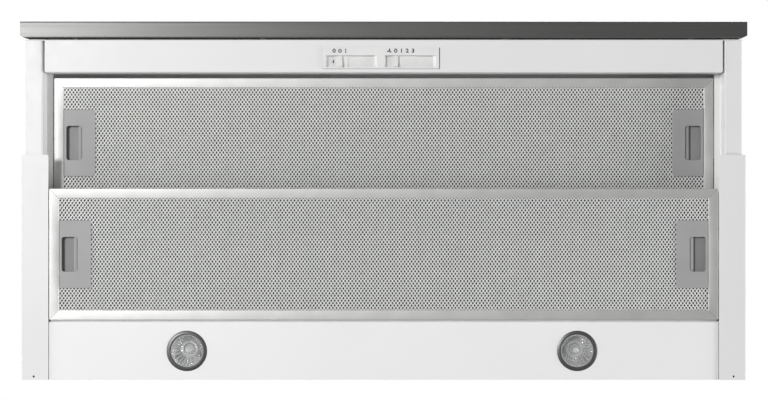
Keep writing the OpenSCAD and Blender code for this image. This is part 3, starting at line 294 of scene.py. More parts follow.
def frame_bar(length, slotted):
    """One channel along X, its outer edge at y = 0, its ends cut at 45 degrees."""
    bar = bmesh.new()
    section = ((bar_width, hem_rise), (bar_width - hem_width, 0), (0, 0), (0, bar_height),
               (bar_width, bar_height))
    chain = [bar.verts.new((-length / 2, y, z)) for y, z in section]
    line = [bar.edges.new(pair) for pair in zip(chain, chain[1:])]
    drawn = bmesh.ops.extrude_edge_only(bar, edges=line)["geom"]
    bmesh.ops.translate(bar, verts=[v for v in drawn if isinstance(v, bmesh.types.BMVert)],
                        vec=(length, 0, 0))
    folds = [e for e in bar.edges if len(e.link_faces) == 2]
    bmesh.ops.bevel(bar, geom=folds, offset=fold_radius, segments=2, profile=0.5,
                    affect="EDGES", material=-1)
    if slotted:
        for side in (-0.5, 0.5):
            score(bar, (side * tongue_slot[0], 0, 0), (1, 0, 0))
        score(bar, (0, 0, tongue_slot[1]), (0, 0, 1))
        opened = [f for f in bar.faces
                  if f.calc_center_median().y < bar_metal
                  and abs(f.calc_center_median().x) < tongue_slot[0] / 2
                  and fold_radius < f.calc_center_median().z < tongue_slot[1]]
        bmesh.ops.delete(bar, geom=opened, context="FACES")
    bar.normal_update()
    lowest = min(bar.faces, key=lambda f: f.calc_center_median().z)
    if lowest.normal.z > 0:
        bmesh.ops.reverse_faces(bar, faces=bar.faces[:])
    bmesh.ops.solidify(bar, geom=bar.faces[:], thickness=bar_metal)
    for side in (-1, 1):
        trim(bar, (side * (length / 2 - mitre_line), 0, 0), (side, 1, 0))
        trim(bar, (side * (length / 2 - corner_cut), 0, 0), (side, -1, 0))
    return bar


def rear_tab():
    """A tongue of the rear bar's top sheet, which goes over the ledge behind the filter."""
    tab = block((tab_size[0], tab_size[1] + tab_root, bar_metal),
                (0, (tab_size[1] - tab_root) / 2, bar_height - bar_metal / 2))
    upright = [e for e in tab.edges if middle_of(e).y > 0
               and abs(e.verts[0].co.z - e.verts[1].co.z) > bar_metal / 2]
    bmesh.ops.bevel(tab, geom=upright, offset=tab_round, segments=3, profile=0.5,
                    affect="EDGES", material=-1)
    return tab


def filter_frame():
    """Four mitred bars and three rear tabs round the middle of a filter."""
    rim = bmesh.new()
    width, depth = filter_size
    sides = ((0, width, depth, False), (180, width, depth, False),
             (90, depth, width, True), (-90, depth, width, True))
    for turn, length, across, slotted in sides:
        add(rim, frame_bar(length, slotted), Matrix.Rotation(math.radians(turn), 4, "Z")
            @ Matrix.Translation((0, -across / 2, 0)))
    for x in (-width / 4, 0, width / 4):
        add(rim, rear_tab(), Matrix.Translation((x, depth / 2, 0)))
    return rim


# The middle of each filter, level with its underside, with the body that carries it
filters = {}
for filter_name, carrier in (("fixed", "chassis"), ("slider", "slider")):
    low_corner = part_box(f"{filter_name}_filter_frame")[0]
    middle = (0, low_corner[1] + filter_size[1] / 2, low_corner[2])
    filters[filter_name] = (carrier, Matrix.Translation(middle))

aluminium = satin_aluminium()
for filter_name, (carrier, place) in filters.items():
    rim = bmesh.new()
    add(rim, filter_frame(), place)
    fit(rim, f"{filter_name}_filter_rim", aluminium, carrier,
        [f"{filter_name}_filter_frame"])

# ---------------------------------------------------------------------------------------
# Filling: a pad of knitted aluminium wire between two expanded sheets. A press slits and
# draws the sheet into rows of diamond gaps, so that each strand lies aslant.

gap_pitch = 0.00432
gap_row = 0.00302
strand_share = 0.665
strand_sink = 0.00026
strand_slant = 0.00024
sheet_metal = 0.0006
sheet_seat = 0.0010
full_row = 187
short_row = 170
last_row = 23
handle_rows = 12
wire_depth = 0.0008
weld = 0.00001


def knitted_wire():
    """Crossing wire loops of the pad, painted nearly black: painted shade for the depth behind the
    sheet's gaps.
    """
    finish, tree, shader = new_finish("knitted_wire", (0.08, 0.08, 0.08), 0.55, 0.6)
    loops = grain(tree, 420, detail=3)
    shade_range(tree, loops, (0.01, 0.01, 0.01), (0.14, 0.14, 0.14), shader.inputs["Base Color"])
    ripple(tree, shader, loops, wire_depth)
    return finish


def row_of_gaps(count):
    """Diamonds of sheet side by side along X, each drawn open in its middle."""
    row = bmesh.new()
    bmesh.ops.create_circle(row, segments=4, radius=1, cap_ends=True)
    bmesh.ops.scale(row, verts=row.verts, vec=(gap_pitch / 2, gap_row, 1))
    bmesh.ops.reverse_faces(row, faces=row.faces[:])
    opened = row.faces[:][0]
    for pressed, share in ((True, strand_share), (False, 1 / strand_share)):
        opened = bmesh.ops.extrude_discrete_faces(row, faces=[opened])["faces"][0]
        for corner in opened.verts:
            corner.co.x *= share
            corner.co.y *= share
            lean = corner.co.x / (gap_pitch / 2) + corner.co.y / gap_row
            slant = strand_sink + strand_slant * lean / strand_share
            corner.co.z = slant if pressed else sheet_metal
    bmesh.ops.delete(row, geom=[opened], context="FACES")
    bmesh.ops.translate(row, verts=row.verts, vec=((1 - count) * gap_pitch / 2, 0, sheet_seat))
    bmesh.ops.spin(row, geom=everything(row), cent=(0, 0, 0), axis=(0, 0, 1),
                   dvec=(gap_pitch, 0, 0), angle=0, steps=count - 1, use_duplicate=True)
    bmesh.ops.remove_doubles(row, verts=row.verts, dist=weld)
    return row


def expanded_sheet():
    """Rows of gaps, each shifted by half a gap against the last, shorter at the handles."""
    sheet = bmesh.new()
    for j in range(-last_row, last_row + 1):
        count = short_row if abs(j) <= handle_rows else full_row
        shift = (j + count) % 2
        add(sheet, row_of_gaps(count - shift), Matrix.Translation((0, j * gap_row, 0)))
    bmesh.ops.remove_doubles(sheet, verts=sheet.verts, dist=weld)
    cut = [e for e in sheet.edges if e.is_boundary and e.verts[0].co.z < sheet_seat + weld]
    wall = bmesh.ops.extrude_edge_only(sheet, edges=cut)["geom"]
    bmesh.ops.translate(sheet, verts=[v for v in wall if isinstance(v, bmesh.types.BMVert)],
                        vec=(0, 0, sheet_metal))
    bmesh.ops.remove_doubles(sheet, verts=sheet.verts, dist=weld)
    bmesh.ops.recalc_face_normals(sheet, faces=sheet.faces[:])
    return sheet


def drawn_sheet():
    """Bright aluminium, rubbed unevenly by the press."""
    finish, tree, shader = new_finish("drawn_sheet", (0.93, 0.93, 0.92), 0.36, 0.4)
    shade_range(tree, grain(tree, 60, detail=3), (0.90, 0.90, 0.89), (0.96, 0.96, 0.95),
                shader.inputs["Base Color"])
    number_range(tree, grain(tree, 1200), 0.30, 0.42, shader.inputs["Roughness"])
    return finish


wire_pad_painted_shade = knitted_wire()
strand_metal = drawn_sheet()
# The pads are painted nearly black, as painted shade for the depth behind the sheet's gaps.
dress(wire_pad_painted_shade, "fixed_filter_core", "slider_filter_core")
dress(aluminium, "fixed_filter_back", "slider_filter_back")
drawn = expanded_sheet()
for filter_name, (carrier, place) in filters.items():
    sheet = bmesh.new()
    add(sheet, drawn, place)
    fit(sheet, f"{filter_name}_expanded_sheet", strand_metal, carrier,
        [f"{filter_name}_filter_face"])
drawn.free()

# ---------------------------------------------------------------------------------------
# Lip of the light panel: its front edge is turned in under the tabs of the fixed filter,
# which closes the slot between filter and panel. Steel with the body's white coat.

lip_metal = 0.0010
lip_level = 0.0066
lip_clear = 0.00015
lip_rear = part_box("light_panel")[0][1]
lip_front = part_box("fixed_filter_frame")[1][1] - tab_size[1] + lip_clear
panel_lip = block((filter_size[0], lip_rear - lip_front, lip_metal),
                  (0, (lip_rear + lip_front) / 2, lip_level))
fit(panel_lip, "panel_lip", white, "chassis")

# ---------------------------------------------------------------------------------------
# Handle covers: grey plastic plates moulded with a finger window, a thin edge that lies
# on the sheet, and a pocket behind for the latch.

cover_inner = 0.3612
cover_outer = 0.4006
cover_half = 0.0419
window_inner = 0.3780
window_outer = 0.3977
window_half = 0.02135
edge_inner = cover_inner + 0.0050
edge_half = cover_half - 0.0062
pocket_inner = 0.3633
pocket_half = 0.0320
pocket_wall = 0.0015
pocket_roof = (0.0075, 0.0087)
cover_levels = (0.0002, 0.00095, 0.0022)
cover_radius = 0.0038
window_radius = 0.0030
rim_radius = 0.0004
edge_slack = 0.00002


def plate(columns, rows, levels, left_out=()):
    """A flat plate on a grid of lines, without the cells that are left out."""
    slab = bmesh.new()
    across, along = len(columns) - 1, len(rows) - 1
    bmesh.ops.create_grid(slab, x_segments=across, y_segments=along, size=1)
    gone = []
    for cell in slab.faces:
        centre = cell.calc_center_median()
        if (int((centre.x + 1) / 2 * across), int((centre.y + 1) / 2 * along)) in left_out:
            gone.append(cell)
    for knot in slab.verts:
        knot.co = (columns[round((knot.co.x + 1) / 2 * across)],
                   rows[round((knot.co.y + 1) / 2 * along)], levels[0])
    bmesh.ops.delete(slab, geom=gone, context="FACES")
    bmesh.ops.reverse_faces(slab, faces=slab.faces[:])
    bmesh.ops.solidify(slab, geom=slab.faces[:], thickness=levels[1] - levels[0])
    flat = [e for e in slab.edges if len(e.link_faces) == 2 and e.calc_face_angle(0) < 0.01]
    bmesh.ops.dissolve_edges(slab, edges=flat, use_verts=False)
    return slab


def round_corners(slab, corners, radius):
    """Rounds the upright edges that stand at the given points."""
    upright = [e for e in slab.edges
               if (e.verts[0].co.xy - e.verts[1].co.xy).length < edge_slack
               and any((e.verts[0].co.xy - Vector(c)).length < edge_slack for c in corners)]
    bmesh.ops.bevel(slab, geom=upright, offset=radius, segments=6, profile=0.5,
                    affect="EDGES", material=-1)


def round_rim(slab, level, radius, steps=2):
    """Breaks the edges of the plate that lie on one level."""
    rim = [e for e in slab.edges
           if all(abs(v.co.z - level) < edge_slack for v in e.verts)
           and e.calc_face_angle(0) > 0.5]
    bmesh.ops.bevel(slab, geom=rim, offset=radius, segments=steps, profile=0.5,
                    affect="EDGES", material=-1)


def handle_cover():
    """The front plate at the right end of a filter."""
    cover = bmesh.new()
    columns = (cover_inner, window_inner, window_outer, cover_outer)
    rows = (-cover_half, -window_half, window_half, cover_half)
    window = [(x, y) for x in (window_inner, window_outer) for y in (-window_half, window_half)]
    front = plate(columns, rows, cover_levels[:2], [(1, 1)])
    round_corners(front, window, window_radius)
    round_corners(front, [(cover_inner, -cover_half), (cover_inner, cover_half)], cover_radius)
    round_rim(front, cover_levels[0], rim_radius)
    add(cover, front)
    inside = plate((edge_inner, window_inner, window_outer, cover_outer),
                   (-edge_half, -window_half, window_half, edge_half), cover_levels[1:], [(1, 1)])
    round_corners(inside, window, window_radius)
    add(cover, inside)
    return cover


def pocket():
    """The tray behind a front plate: three walls and a roof."""
    tray = bmesh.new()
    columns = (pocket_inner, pocket_inner + pocket_wall, cover_outer)
    rows = (-pocket_half, -pocket_half + pocket_wall, pocket_half - pocket_wall, pocket_half)
    add(tray, plate(columns, rows, (cover_levels[2], pocket_roof[0]), [(1, 1)]))
    add(tray, plate(columns[::2], rows[::3], pocket_roof))
    return tray


grey_plastic = moulded_plastic("grey_plastic", (0.37, 0.37, 0.375), 0.5, plastic_pebble)
# The pockets take a darker copy of the grey plastic: painted shade for the depth behind the finger
# windows.
pocket_painted_shade_plastic = moulded_plastic("pocket_painted_shade_plastic", (0.32, 0.32, 0.325), 0.6, plastic_pebble)
to_left = Matrix.Diagonal((-1, 1, 1, 1))
for filter_name, (carrier, place) in filters.items():
    for part_name, make, finish in (("handles", handle_cover, grey_plastic),
                                    ("handle_pockets", pocket, pocket_painted_shade_plastic)):
        both = bmesh.new()
        add(both, make(), place)
        add(both, make(), place @ to_left)
        fit(both, f"{filter_name}_{part_name}", finish, carrier,
            [f"{filter_name}_handle_covers"])

# ---------------------------------------------------------------------------------------
# Latches: one moulding of grey plastic each, with a lip for the fingertips inside, two
# runners beside the window, and outside a stepped tongue that springs out over the ledge.

grip_inner = 0.3783
grip_outer = 0.3830
grip_top = 0.0072
grip_round = 0.0012
latch_levels = (0.0025, 0.0041)
bridge_start = 0.3990
bridge_end = 0.4020
tongue_end = 0.4180
tongue_half = 0.0200
hook_start = 0.4083
hook_level = 0.0013
hook_round = 0.0004
runner_half = 0.0302
runner_inner = 0.0217


def latch():
    """The latch of the right handle."""
    slide = bmesh.new()
    for low, high in ((-runner_half, -runner_inner), (runner_inner, runner_half)):
        add(slide, plate((grip_inner, bridge_end), (low, high), latch_levels))
    grip = plate((grip_inner, grip_outer), (-runner_inner, runner_inner),
                 (latch_levels[0], grip_top))
    long_edges = [e for e in grip.edges
                  if abs(middle_of(e).z - latch_levels[0]) < weld
                  and abs(e.verts[0].co.y - e.verts[1].co.y) > runner_inner]
    bmesh.ops.bevel(grip, geom=long_edges, offset=grip_round, segments=4, profile=0.5,
                    affect="EDGES", material=-1)
    add(slide, grip)
    add(slide, plate((bridge_start, bridge_end), (-runner_inner, runner_inner), latch_levels))
    add(slide, plate((bridge_end, tongue_end), (-tongue_half, tongue_half), latch_levels))
    hook = plate((hook_start, tongue_end), (-tongue_half, tongue_half),
                 (hook_level, latch_levels[0]))
    round_rim(hook, hook_level, hook_round)
    add(slide, hook)
    return slide


for filter_name, (carrier, place) in filters.items():
    for side, seat in (("right", place), ("left", place @ to_left)):
        piece = bmesh.new()
        add(piece, latch(), seat)
        node = f"{filter_name}_latch_{side}"
        fit(piece, f"{node}_moulding", grey_plastic, node, [node])

# ---------------------------------------------------------------------------------------
# Latch springs: zinc plated steel wire wound into two short coils, the wide one seated in
# the pocket and the narrow one on the latch, so that one slides into the other.

spring_wire = 0.0006
spring_radius = 0.0019
narrow_radius = 0.00115
spring_turns = 3
spring_steps = 16
spring_sides = 8
spring_edge = 50


def zinc_plate():
    """Bluish bright zinc with its faint spangle."""
    finish, tree, shader = new_finish("zinc_plate", (0.56, 0.57, 0.59), 0.36, 1.0)
    spangle = grain(tree, 140, detail=3)
    shade_range(tree, spangle, (0.50, 0.51, 0.53), (0.62, 0.63, 0.65), shader.inputs["Base Color"])
    number_range(tree, grain(tree, 400), 0.3, 0.45, shader.inputs["Roughness"])
    return finish


def coil(start, end, radius):
    """A wire wound round the X axis from one place on it to another."""
    wire = bmesh.new()
    bmesh.ops.create_circle(wire, segments=spring_sides, radius=spring_wire / 2)
    bmesh.ops.translate(wire, verts=wire.verts, vec=(start, radius, 0))
    steps = spring_turns * spring_steps
    bmesh.ops.spin(wire, geom=everything(wire), cent=(0, 0, 0), axis=(1, 0, 0),
                   dvec=((end - start) / steps, 0, 0), angle=2 * math.pi * spring_turns,
                   steps=steps, use_merge=False)
    bmesh.ops.holes_fill(wire, edges=[e for e in wire.edges if e.is_boundary])
    bmesh.ops.recalc_face_normals(wire, faces=wire.faces[:])
    return wire


zinc = zinc_plate()
for filter_name, (carrier, place) in filters.items():
    for side, facing in (("right", 1), ("left", -1)):
        node = f"{filter_name}_spring_{side}"
        low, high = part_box(node)
        seat = min(abs(low[0]), abs(high[0])) + spring_wire / 2
        tip = max(abs(low[0]), abs(high[0])) - spring_wire / 2
        half_way = (seat + tip) / 2
        axis = Matrix.Translation((0, (low[1] + high[1]) / 2, (low[2] + high[2]) / 2))
        axis = axis @ Matrix.Diagonal((facing, 1, 1, 1))
        for end, start, stop, radius, body, stands_for in (
                ("seat", seat, half_way, spring_radius, carrier, [node]),
                ("tip", half_way, tip, narrow_radius, f"{filter_name}_latch_{side}", [])):
            piece = bmesh.new()
            add(piece, coil(start, stop, radius), axis)
            fit(piece, f"{node}_{end}", zinc, body, stands_for, spring_edge)

# ---------------------------------------------------------------------------------------
# Control plate: semi gloss white plastic with two sunk slots, sloped at their ends, where
# the switch knobs slide. Plate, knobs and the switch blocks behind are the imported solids.

white_plastic = moulded_plastic("white_plastic", (0.80, 0.80, 0.795), 0.32, 0.00001)
dress(white_plastic, "control_plate", "light_knob", "fan_knob", "switch_blocks")

# ---------------------------------------------------------------------------------------
# Shutter edge: a strip of white plastic along the left edge of the lamp switch's shutter,
# moulded with the knob, which closes the slit a little further.

shutter_levels = (0.0049, 0.0057)
shutter_half = 0.0070
shutter_edge = (-0.0612, -0.0600)
knob_low, knob_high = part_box("light_knob")
knob_row = (knob_low[1] + knob_high[1]) / 2
strip = plate(shutter_edge, (knob_row - shutter_half, knob_row + shutter_half), shutter_levels)
fit(strip, "shutter_edge", white_plastic, "light_knob")

# ---------------------------------------------------------------------------------------
# Gap shade: a thin strip of black plastic behind the rim of the control plate, painted shade for
# the gap round the plate, which shows as a hairline on three sides, widest at the right.

shade_strip_thick = 0.00012
shade_strip_left = 0.0001
shade_strip_right = 0.0010
shade_strip_rear = 0.0004
plate_low, plate_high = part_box("control_plate")
front_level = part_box("front_box")[0][2]
gap_shade_strip = plate((plate_low[0] - shade_strip_left, plate_low[0], plate_high[0], plate_high[0] + shade_strip_right),
             (plate_low[1], plate_high[1], plate_high[1] + shade_strip_rear),
             (front_level - shade_strip_thick, front_level), [(1, 0)])
fit(gap_shade_strip, "plate_gap_shade", black_plastic, "slider")

# ---------------------------------------------------------------------------------------
# Printed signs on the control plate: a lamp between 0 and I, then a fan beside 0, 1, 2
# and 3. They are printed flat in dark ink, a hair's breadth off the plastic.

ink_lift = 0.00003
figure_height = 0.0048
figure_share = 0.72
figure_stretch = 1.2
stroke = 0.0008
thin_stroke = 0.00056
ring_stroke = 0.00064
serif_width = 0.00208
hub_stroke = 0.00072
blade_radius = 0.001008
blade_shape = (0.8, 1.35, 1)
blade_place = (0.000768, 0.001536, 0)
switch_step = 0.0071
sign_line = 0.0089
light_sign = -0.0506
fan_sign = 0.0105
fan_zero = 0.0184


def figure(text):
    """A flat figure of the stock font, centred on the origin."""
    curve = bpy.data.curves.new("figure", "FONT")
    curve.body = text
    curve.align_x = "CENTER"
    curve.align_y = "CENTER"
    curve.size = figure_height / figure_share
    curve.offset = stroke / 4
    holder = bpy.data.objects.new("figure", curve)
    flat = bpy.data.meshes.new_from_object(holder)
    shape = bmesh.new()
    shape.from_mesh(flat)
    bmesh.ops.scale(shape, verts=shape.verts, vec=(figure_stretch, 1, 1))
    bpy.data.objects.remove(holder)
    bpy.data.curves.remove(curve)
    bpy.data.meshes.remove(flat)
    return shape


def stroke_bar(width, height, turn=0):
    """A straight stroke centred on the origin, turned by some degrees."""
    bar = bmesh.new()
    bmesh.ops.create_grid(bar, x_segments=1, y_segments=1, size=0.5)
    bmesh.ops.scale(bar, verts=bar.verts, vec=(width, height, 1))
    bmesh.ops.rotate(bar, verts=bar.verts, matrix=Matrix.Rotation(math.radians(turn), 3, "Z"))
    return bar


def hoop(radius, width):
    """A flat ring of that outer radius."""
    ring = bmesh.new()
    inner = ring.verts.new((radius - width, 0, 0))
    outer = ring.verts.new((radius, 0, 0))
    line = ring.edges.new((inner, outer))
    bmesh.ops.spin(ring, geom=[inner, outer, line], cent=(0, 0, 0), axis=(0, 0, 1),
                   angle=2 * math.pi, steps=24, use_merge=True)
    bmesh.ops.remove_doubles(ring, verts=ring.verts, dist=weld)
    return ring


def letter_one():
    """A capital I with its two serifs."""
    sign = stroke_bar(stroke, figure_height)
    for end in (-1, 1):
        add(sign, stroke_bar(serif_width, thin_stroke),
            Matrix.Translation((0, end * (figure_height - thin_stroke) / 2, 0)))
    return sign


def lamp_sign():
    """A round lamp: a ring with a cross in it."""
    sign = hoop(figure_height / 2, ring_stroke)
    for turn in (45, 135):
        add(sign, stroke_bar(figure_height - stroke, thin_stroke, turn))
    return sign


def fan_blades():
    """A fan: three round blades that trail off a hub."""
    sign = hoop(stroke, hub_stroke)
    blade = bmesh.new()
    bmesh.ops.create_circle(blade, segments=20, radius=blade_radius, cap_ends=True)
    bmesh.ops.scale(blade, verts=blade.verts, vec=blade_shape)
    bmesh.ops.translate(blade, verts=blade.verts, vec=blade_place)
    for turn in (15, 135, 255):
        add(sign, blade, Matrix.Rotation(math.radians(turn), 4, "Z"))
    blade.free()
    return sign


signs = [(light_sign - switch_step, figure("0")), (light_sign, lamp_sign()),
         (light_sign + switch_step, letter_one()), (fan_sign, fan_blades())]
for position in range(4):
    signs.append((fan_zero + position * switch_step, figure(str(position))))

plate_middle = (Vector(plate_low) + Vector(plate_high)) / 2
face_down = Matrix.Rotation(math.pi, 4, "X")
printed = bmesh.new()
for along, sign in signs:
    spot = (plate_middle.x + along, plate_middle.y - sign_line, plate_low[2] - ink_lift)
    add(printed, sign, Matrix.Translation(spot) @ face_down)
    sign.free()
ink, ink_tree, ink_shader = new_finish("printing_ink", (0.02, 0.02, 0.02), 0.5)
number_range(ink_tree, grain(ink_tree, 900), 0.45, 0.6, ink_shader.inputs["Roughness"])
fit(printed, "switch_signs", ink, "slider")

# ---------------------------------------------------------------------------------------
# Lamps: a turned ring of dark steel that falls away to its edge, a mirrored glass bowl of
# small flat facets with a rolled lip at its neck, a capsule bulb and a clear front glass.
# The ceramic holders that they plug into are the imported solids.

ring_radius = 0.0250
ring_rise = 0.0013
ring_clear = 0.0002
glass_radius = 0.0205
sleeve_radius = 0.0228
sleeve_wall = 0.0008
sleeve_height = 0.0080
bowl_rim = 0.0201
bowl_neck = 0.0070
bowl_wall = 0.0008
bowl_level = 0.0010
bowl_height = 0.0300
bowl_top = 0.0358
mirror_rings = 7
mirror_columns = 48
flute_depth = 0.0007
neck_lip = 0.0052
neck_roll = 0.0009
neck_level = 0.0294
bulb_radius = 0.0036
bulb_tip = 0.0080
bulb_base = 0.0290
glass_thick = 0.0009
pole = 0.0001
facet_edge = 3
soft_edge = 40


def turned(profile, steps):
    """Turns a closed chain of (radius, height) points round the Z axis."""
    shape = bmesh.new()
    chain = [shape.verts.new((radius, 0, height)) for radius, height in profile]
    line = [shape.edges.new(pair) for pair in zip(chain, chain[1:] + chain[:1])]
    bmesh.ops.spin(shape, geom=chain + line, cent=(0, 0, 0), axis=(0, 0, 1),
                   angle=2 * math.pi, steps=steps, use_merge=True)
    bmesh.ops.remove_doubles(shape, verts=shape.verts, dist=weld)
    bmesh.ops.recalc_face_normals(shape, faces=shape.faces[:])
    return shape


def bead(radius, level, half_width, half_height):
    """Eight points round the section of a rolled lip or a raised ring."""
    return [(radius + half_width * math.cos(a), level + half_height * math.sin(a))
            for a in (math.radians(45 * i) for i in range(8))]


def lamp_ring():
    """The steel ring and its sleeve, which goes up through the panel."""
    inner = glass_radius + ring_clear
    return turned([
        (inner, 0.0010), (inner, 0.0006 - ring_rise), (inner + 0.0003, 0.0001 - ring_rise),
        (inner + 0.0009, -ring_rise), (ring_radius - 0.0008, -0.0005), (ring_radius, -0.0001),
        (ring_radius, 0), (sleeve_radius, 0), (sleeve_radius, sleeve_height),
        (sleeve_radius - sleeve_wall, sleeve_height), (sleeve_radius - sleeve_wall, 0.0016)
    ], 96)


def bowl_radius(share):
    """The reflector's outer radius at a share of its height."""
    return bowl_neck + (bowl_rim - bowl_neck) * math.sqrt(1 - share)


def reflector():
    """The bowl with its closed neck, every second column of facets drawn in a little."""
    shares = [i / mirror_rings for i in range(mirror_rings + 1)]
    outside = [(bowl_radius(t), bowl_level + bowl_height * t) for t in shares]
    inside = [(bowl_radius(t) - bowl_wall, bowl_level + (bowl_height - bowl_wall) * t)
              for t in reversed(shares)]
    neck = [(bowl_neck, bowl_top), (pole, bowl_top), (pole, inside[0][1])]
    bowl = turned(outside + neck + inside, mirror_columns)
    for point in bowl.verts:
        column = round(math.atan2(point.co.y, point.co.x) * mirror_columns / (2 * math.pi))
        if column % 2 and bowl_neck < point.co.xy.length < bowl_rim - bowl_wall / 2:
            point.co.xy *= 1 - flute_depth / point.co.xy.length
    return bowl


def neck_ring():
    """The rolled lip round the neck's mouth, which catches the light."""
    return turned(bead(neck_lip, neck_level, neck_roll, neck_roll), 48)


def bulb():
    """The capsule, round at its tip."""
    tip = [(bulb_radius * math.sin(a), bulb_tip + bulb_radius * (1 - math.cos(a)))
           for a in (math.radians(5 + 17 * i) for i in range(6))]
    return turned([(pole / 2, bulb_tip)] + tip + [(bulb_radius, bulb_base), (pole / 2, bulb_base)],
                  32)


def front_glass():
    """The flat glass, its lower edge ground off."""
    return turned([(pole, -glass_thick / 2), (glass_radius - 0.0003, -glass_thick / 2),
                   (glass_radius, -glass_thick / 4), (glass_radius, glass_thick),
                   (pole, glass_thick)], 64)


def clear_glass(name, share):
    """Glass that passes most light straight through; share is how much of it shows."""
    finish, tree, shader = new_finish(name, (0.93, 0.95, 0.96), 0.05)
    shader.inputs["Alpha"].default_value = share
    number_range(tree, grain(tree, 160), 0.03, 0.09, shader.inputs["Roughness"])
    return finish


ring_metal, ring_tree, ring_shader = new_finish("lamp_ring_metal", (0.14, 0.14, 0.14), 0.42, 0.9)
number_range(ring_tree, grain(ring_tree, 500), 0.38, 0.46, ring_shader.inputs["Roughness"])
mirror, mirror_tree, mirror_shader = new_finish("lamp_mirror", (0.95, 0.95, 0.95), 0.08, 0.92)
number_range(mirror_tree, grain(mirror_tree, 260), 0.05, 0.12, mirror_shader.inputs["Roughness"])
lens_glass = clear_glass("lens_glass", 0.05)
bulb_glass = clear_glass("bulb_glass", 0.5)

ring_low, ring_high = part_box("lamp_bezels")
panel_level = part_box("light_panel")[0][2]
lamp_places = [Matrix.Translation((x, (ring_low[1] + ring_high[1]) / 2, panel_level))
               for x in (ring_low[0] + ring_radius, ring_high[0] - ring_radius)]
lamp_parts = (
    ("lamp_rings", lamp_ring, ring_metal, "lamp_ring", "lamp_bezels", soft_edge),
    ("mirror_bowls", reflector, mirror, "reflector", "lamp_reflectors", facet_edge),
    ("neck_rings", neck_ring, mirror, "reflector", "lamp_reflectors", soft_edge),
    ("capsules", bulb, bulb_glass, "bulb_glass", "lamp_bulbs", soft_edge),
    ("front_glasses", front_glass, lens_glass, "lamp_glass", "lamp_glasses", soft_edge),
)
for piece_name, make, finish, slot, node, sharp in lamp_parts:
    pair = bmesh.new()
    for place in lamp_places:
        add(pair, make(), place)
    fit(pair, piece_name, finish, "chassis", [node], sharp)
ceramic, ceramic_tree, ceramic_shader = new_finish("ceramic", (0.82, 0.80, 0.75), 0.55)
ripple(ceramic_tree, ceramic_shader, grain(ceramic_tree, 900), coat_ripple)
dress(ceramic, "lamp_holders")

# ---------------------------------------------------------------------------------------
# Runners, screws and motor parts: rolled rails with balls in pressed cages, the motor's
# drawn case with its shaft and bracket, and the capacitor's can. All are zinc plated
# steel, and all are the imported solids.

dress(zinc, "outer_rails", "inner_rails", "ball_cages", "bearing_balls", "fascia_screws",
      "body_screws", "motor_shaft", "motor_case", "motor_bracket", "run_capacitor")

# ---------------------------------------------------------------------------------------
# Blower, collar and electrics: a drum impeller in a housing of two halves, the duct collar
# and the cable gland of black plastic, the flaps and the terminal box of grey. All are
# moulded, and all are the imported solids.

dress(black_plastic, "duct_collar", "volute_left", "volute_right", "impeller", "cable_gland")
dress(grey_plastic, "flap_front", "flap_rear", "terminal_box", "terminal_lid")

# ---------------------------------------------------------------------------------------
# Screw crosses: thin black bars on the heads of the steel screws that hold the deck and the
# collar, painted shade for their cross recesses. Each stands at the turn where its screw came
# tight.

cross_arm = (0.0036, 0.0009, 0.0001)
cross_turn = 31
deck_screw_side = 0.4365
deck_screw_rows = (-0.02665, 0.08235, 0.19135)
deck_screw_top = 0.0650
collar_middle = Vector((0, 0.08235, 0))
collar_screw_reach = 0.0601
collar_screw_top = 0.2005
screw_heads = [(side * deck_screw_side, row, deck_screw_top)
               for side in (-1, 1) for row in deck_screw_rows]
screw_heads += [(x, collar_middle.y + y, collar_screw_top)
                for x in (-collar_screw_reach, collar_screw_reach)
                for y in (-collar_screw_reach, collar_screw_reach)]
cross_shades = bmesh.new()
arm = block(cross_arm)
for i, spot in enumerate(screw_heads):
    for turn in (0, 90):
        add(cross_shades, arm, Matrix.Translation(spot)
            @ Matrix.Rotation(math.radians(turn + cross_turn * i), 4, "Z"))
arm.free()
fit(cross_shades, "screw_cross_shades", black_plastic, "chassis")

# ---------------------------------------------------------------------------------------
# Corner tabs and ribs of the motor box: the coated steel of the end walls is folded over
# the long walls and held by aluminium pop rivets, and long ribs are pressed into the
# walls and the top.

box_side = 0.2800
box_walls = (-0.04165, 0.20635)
box_top = 0.1960
box_tab_reach = 0.0150
box_tab_thick = 0.0008
box_tab_levels = (0.0660, 0.1935)
box_tab_round = 0.0040
rivet_inset = 0.0075
rivet_levels = (0.0800, 0.1300, 0.1800)
rib_rise = 0.0014
rib_half = 0.0060
rib_round = 0.00595
rib_edge = 0.0012
wall_rib = (0.0300, 0.2350)
wall_rib_levels = (0.1000, 0.1600)
top_rib = (0.1150, 0.2500)
top_rib_rows = (0.0150, 0.1500)


def rivet():
    """A pop rivet's domed head with the hole that its pin left."""
    return turned([(pole, 0.0004), (0.0008, 0.0004), (0.0010, 0.0013), (0.0018, 0.0012),
                   (0.0027, 0.0007), (0.0031, 0), (pole, 0)], 24)


def rib(start, end, row):
    """A pressed rib along X with round ends, on the level z = 0."""
    edges = (row - rib_half, row + rib_half)
    bar = plate((start, end), edges, (0, rib_rise))
    round_corners(bar, [(x, y) for x in (start, end) for y in edges], rib_round)
    round_rim(bar, rib_rise, rib_edge, 3)
    return bar


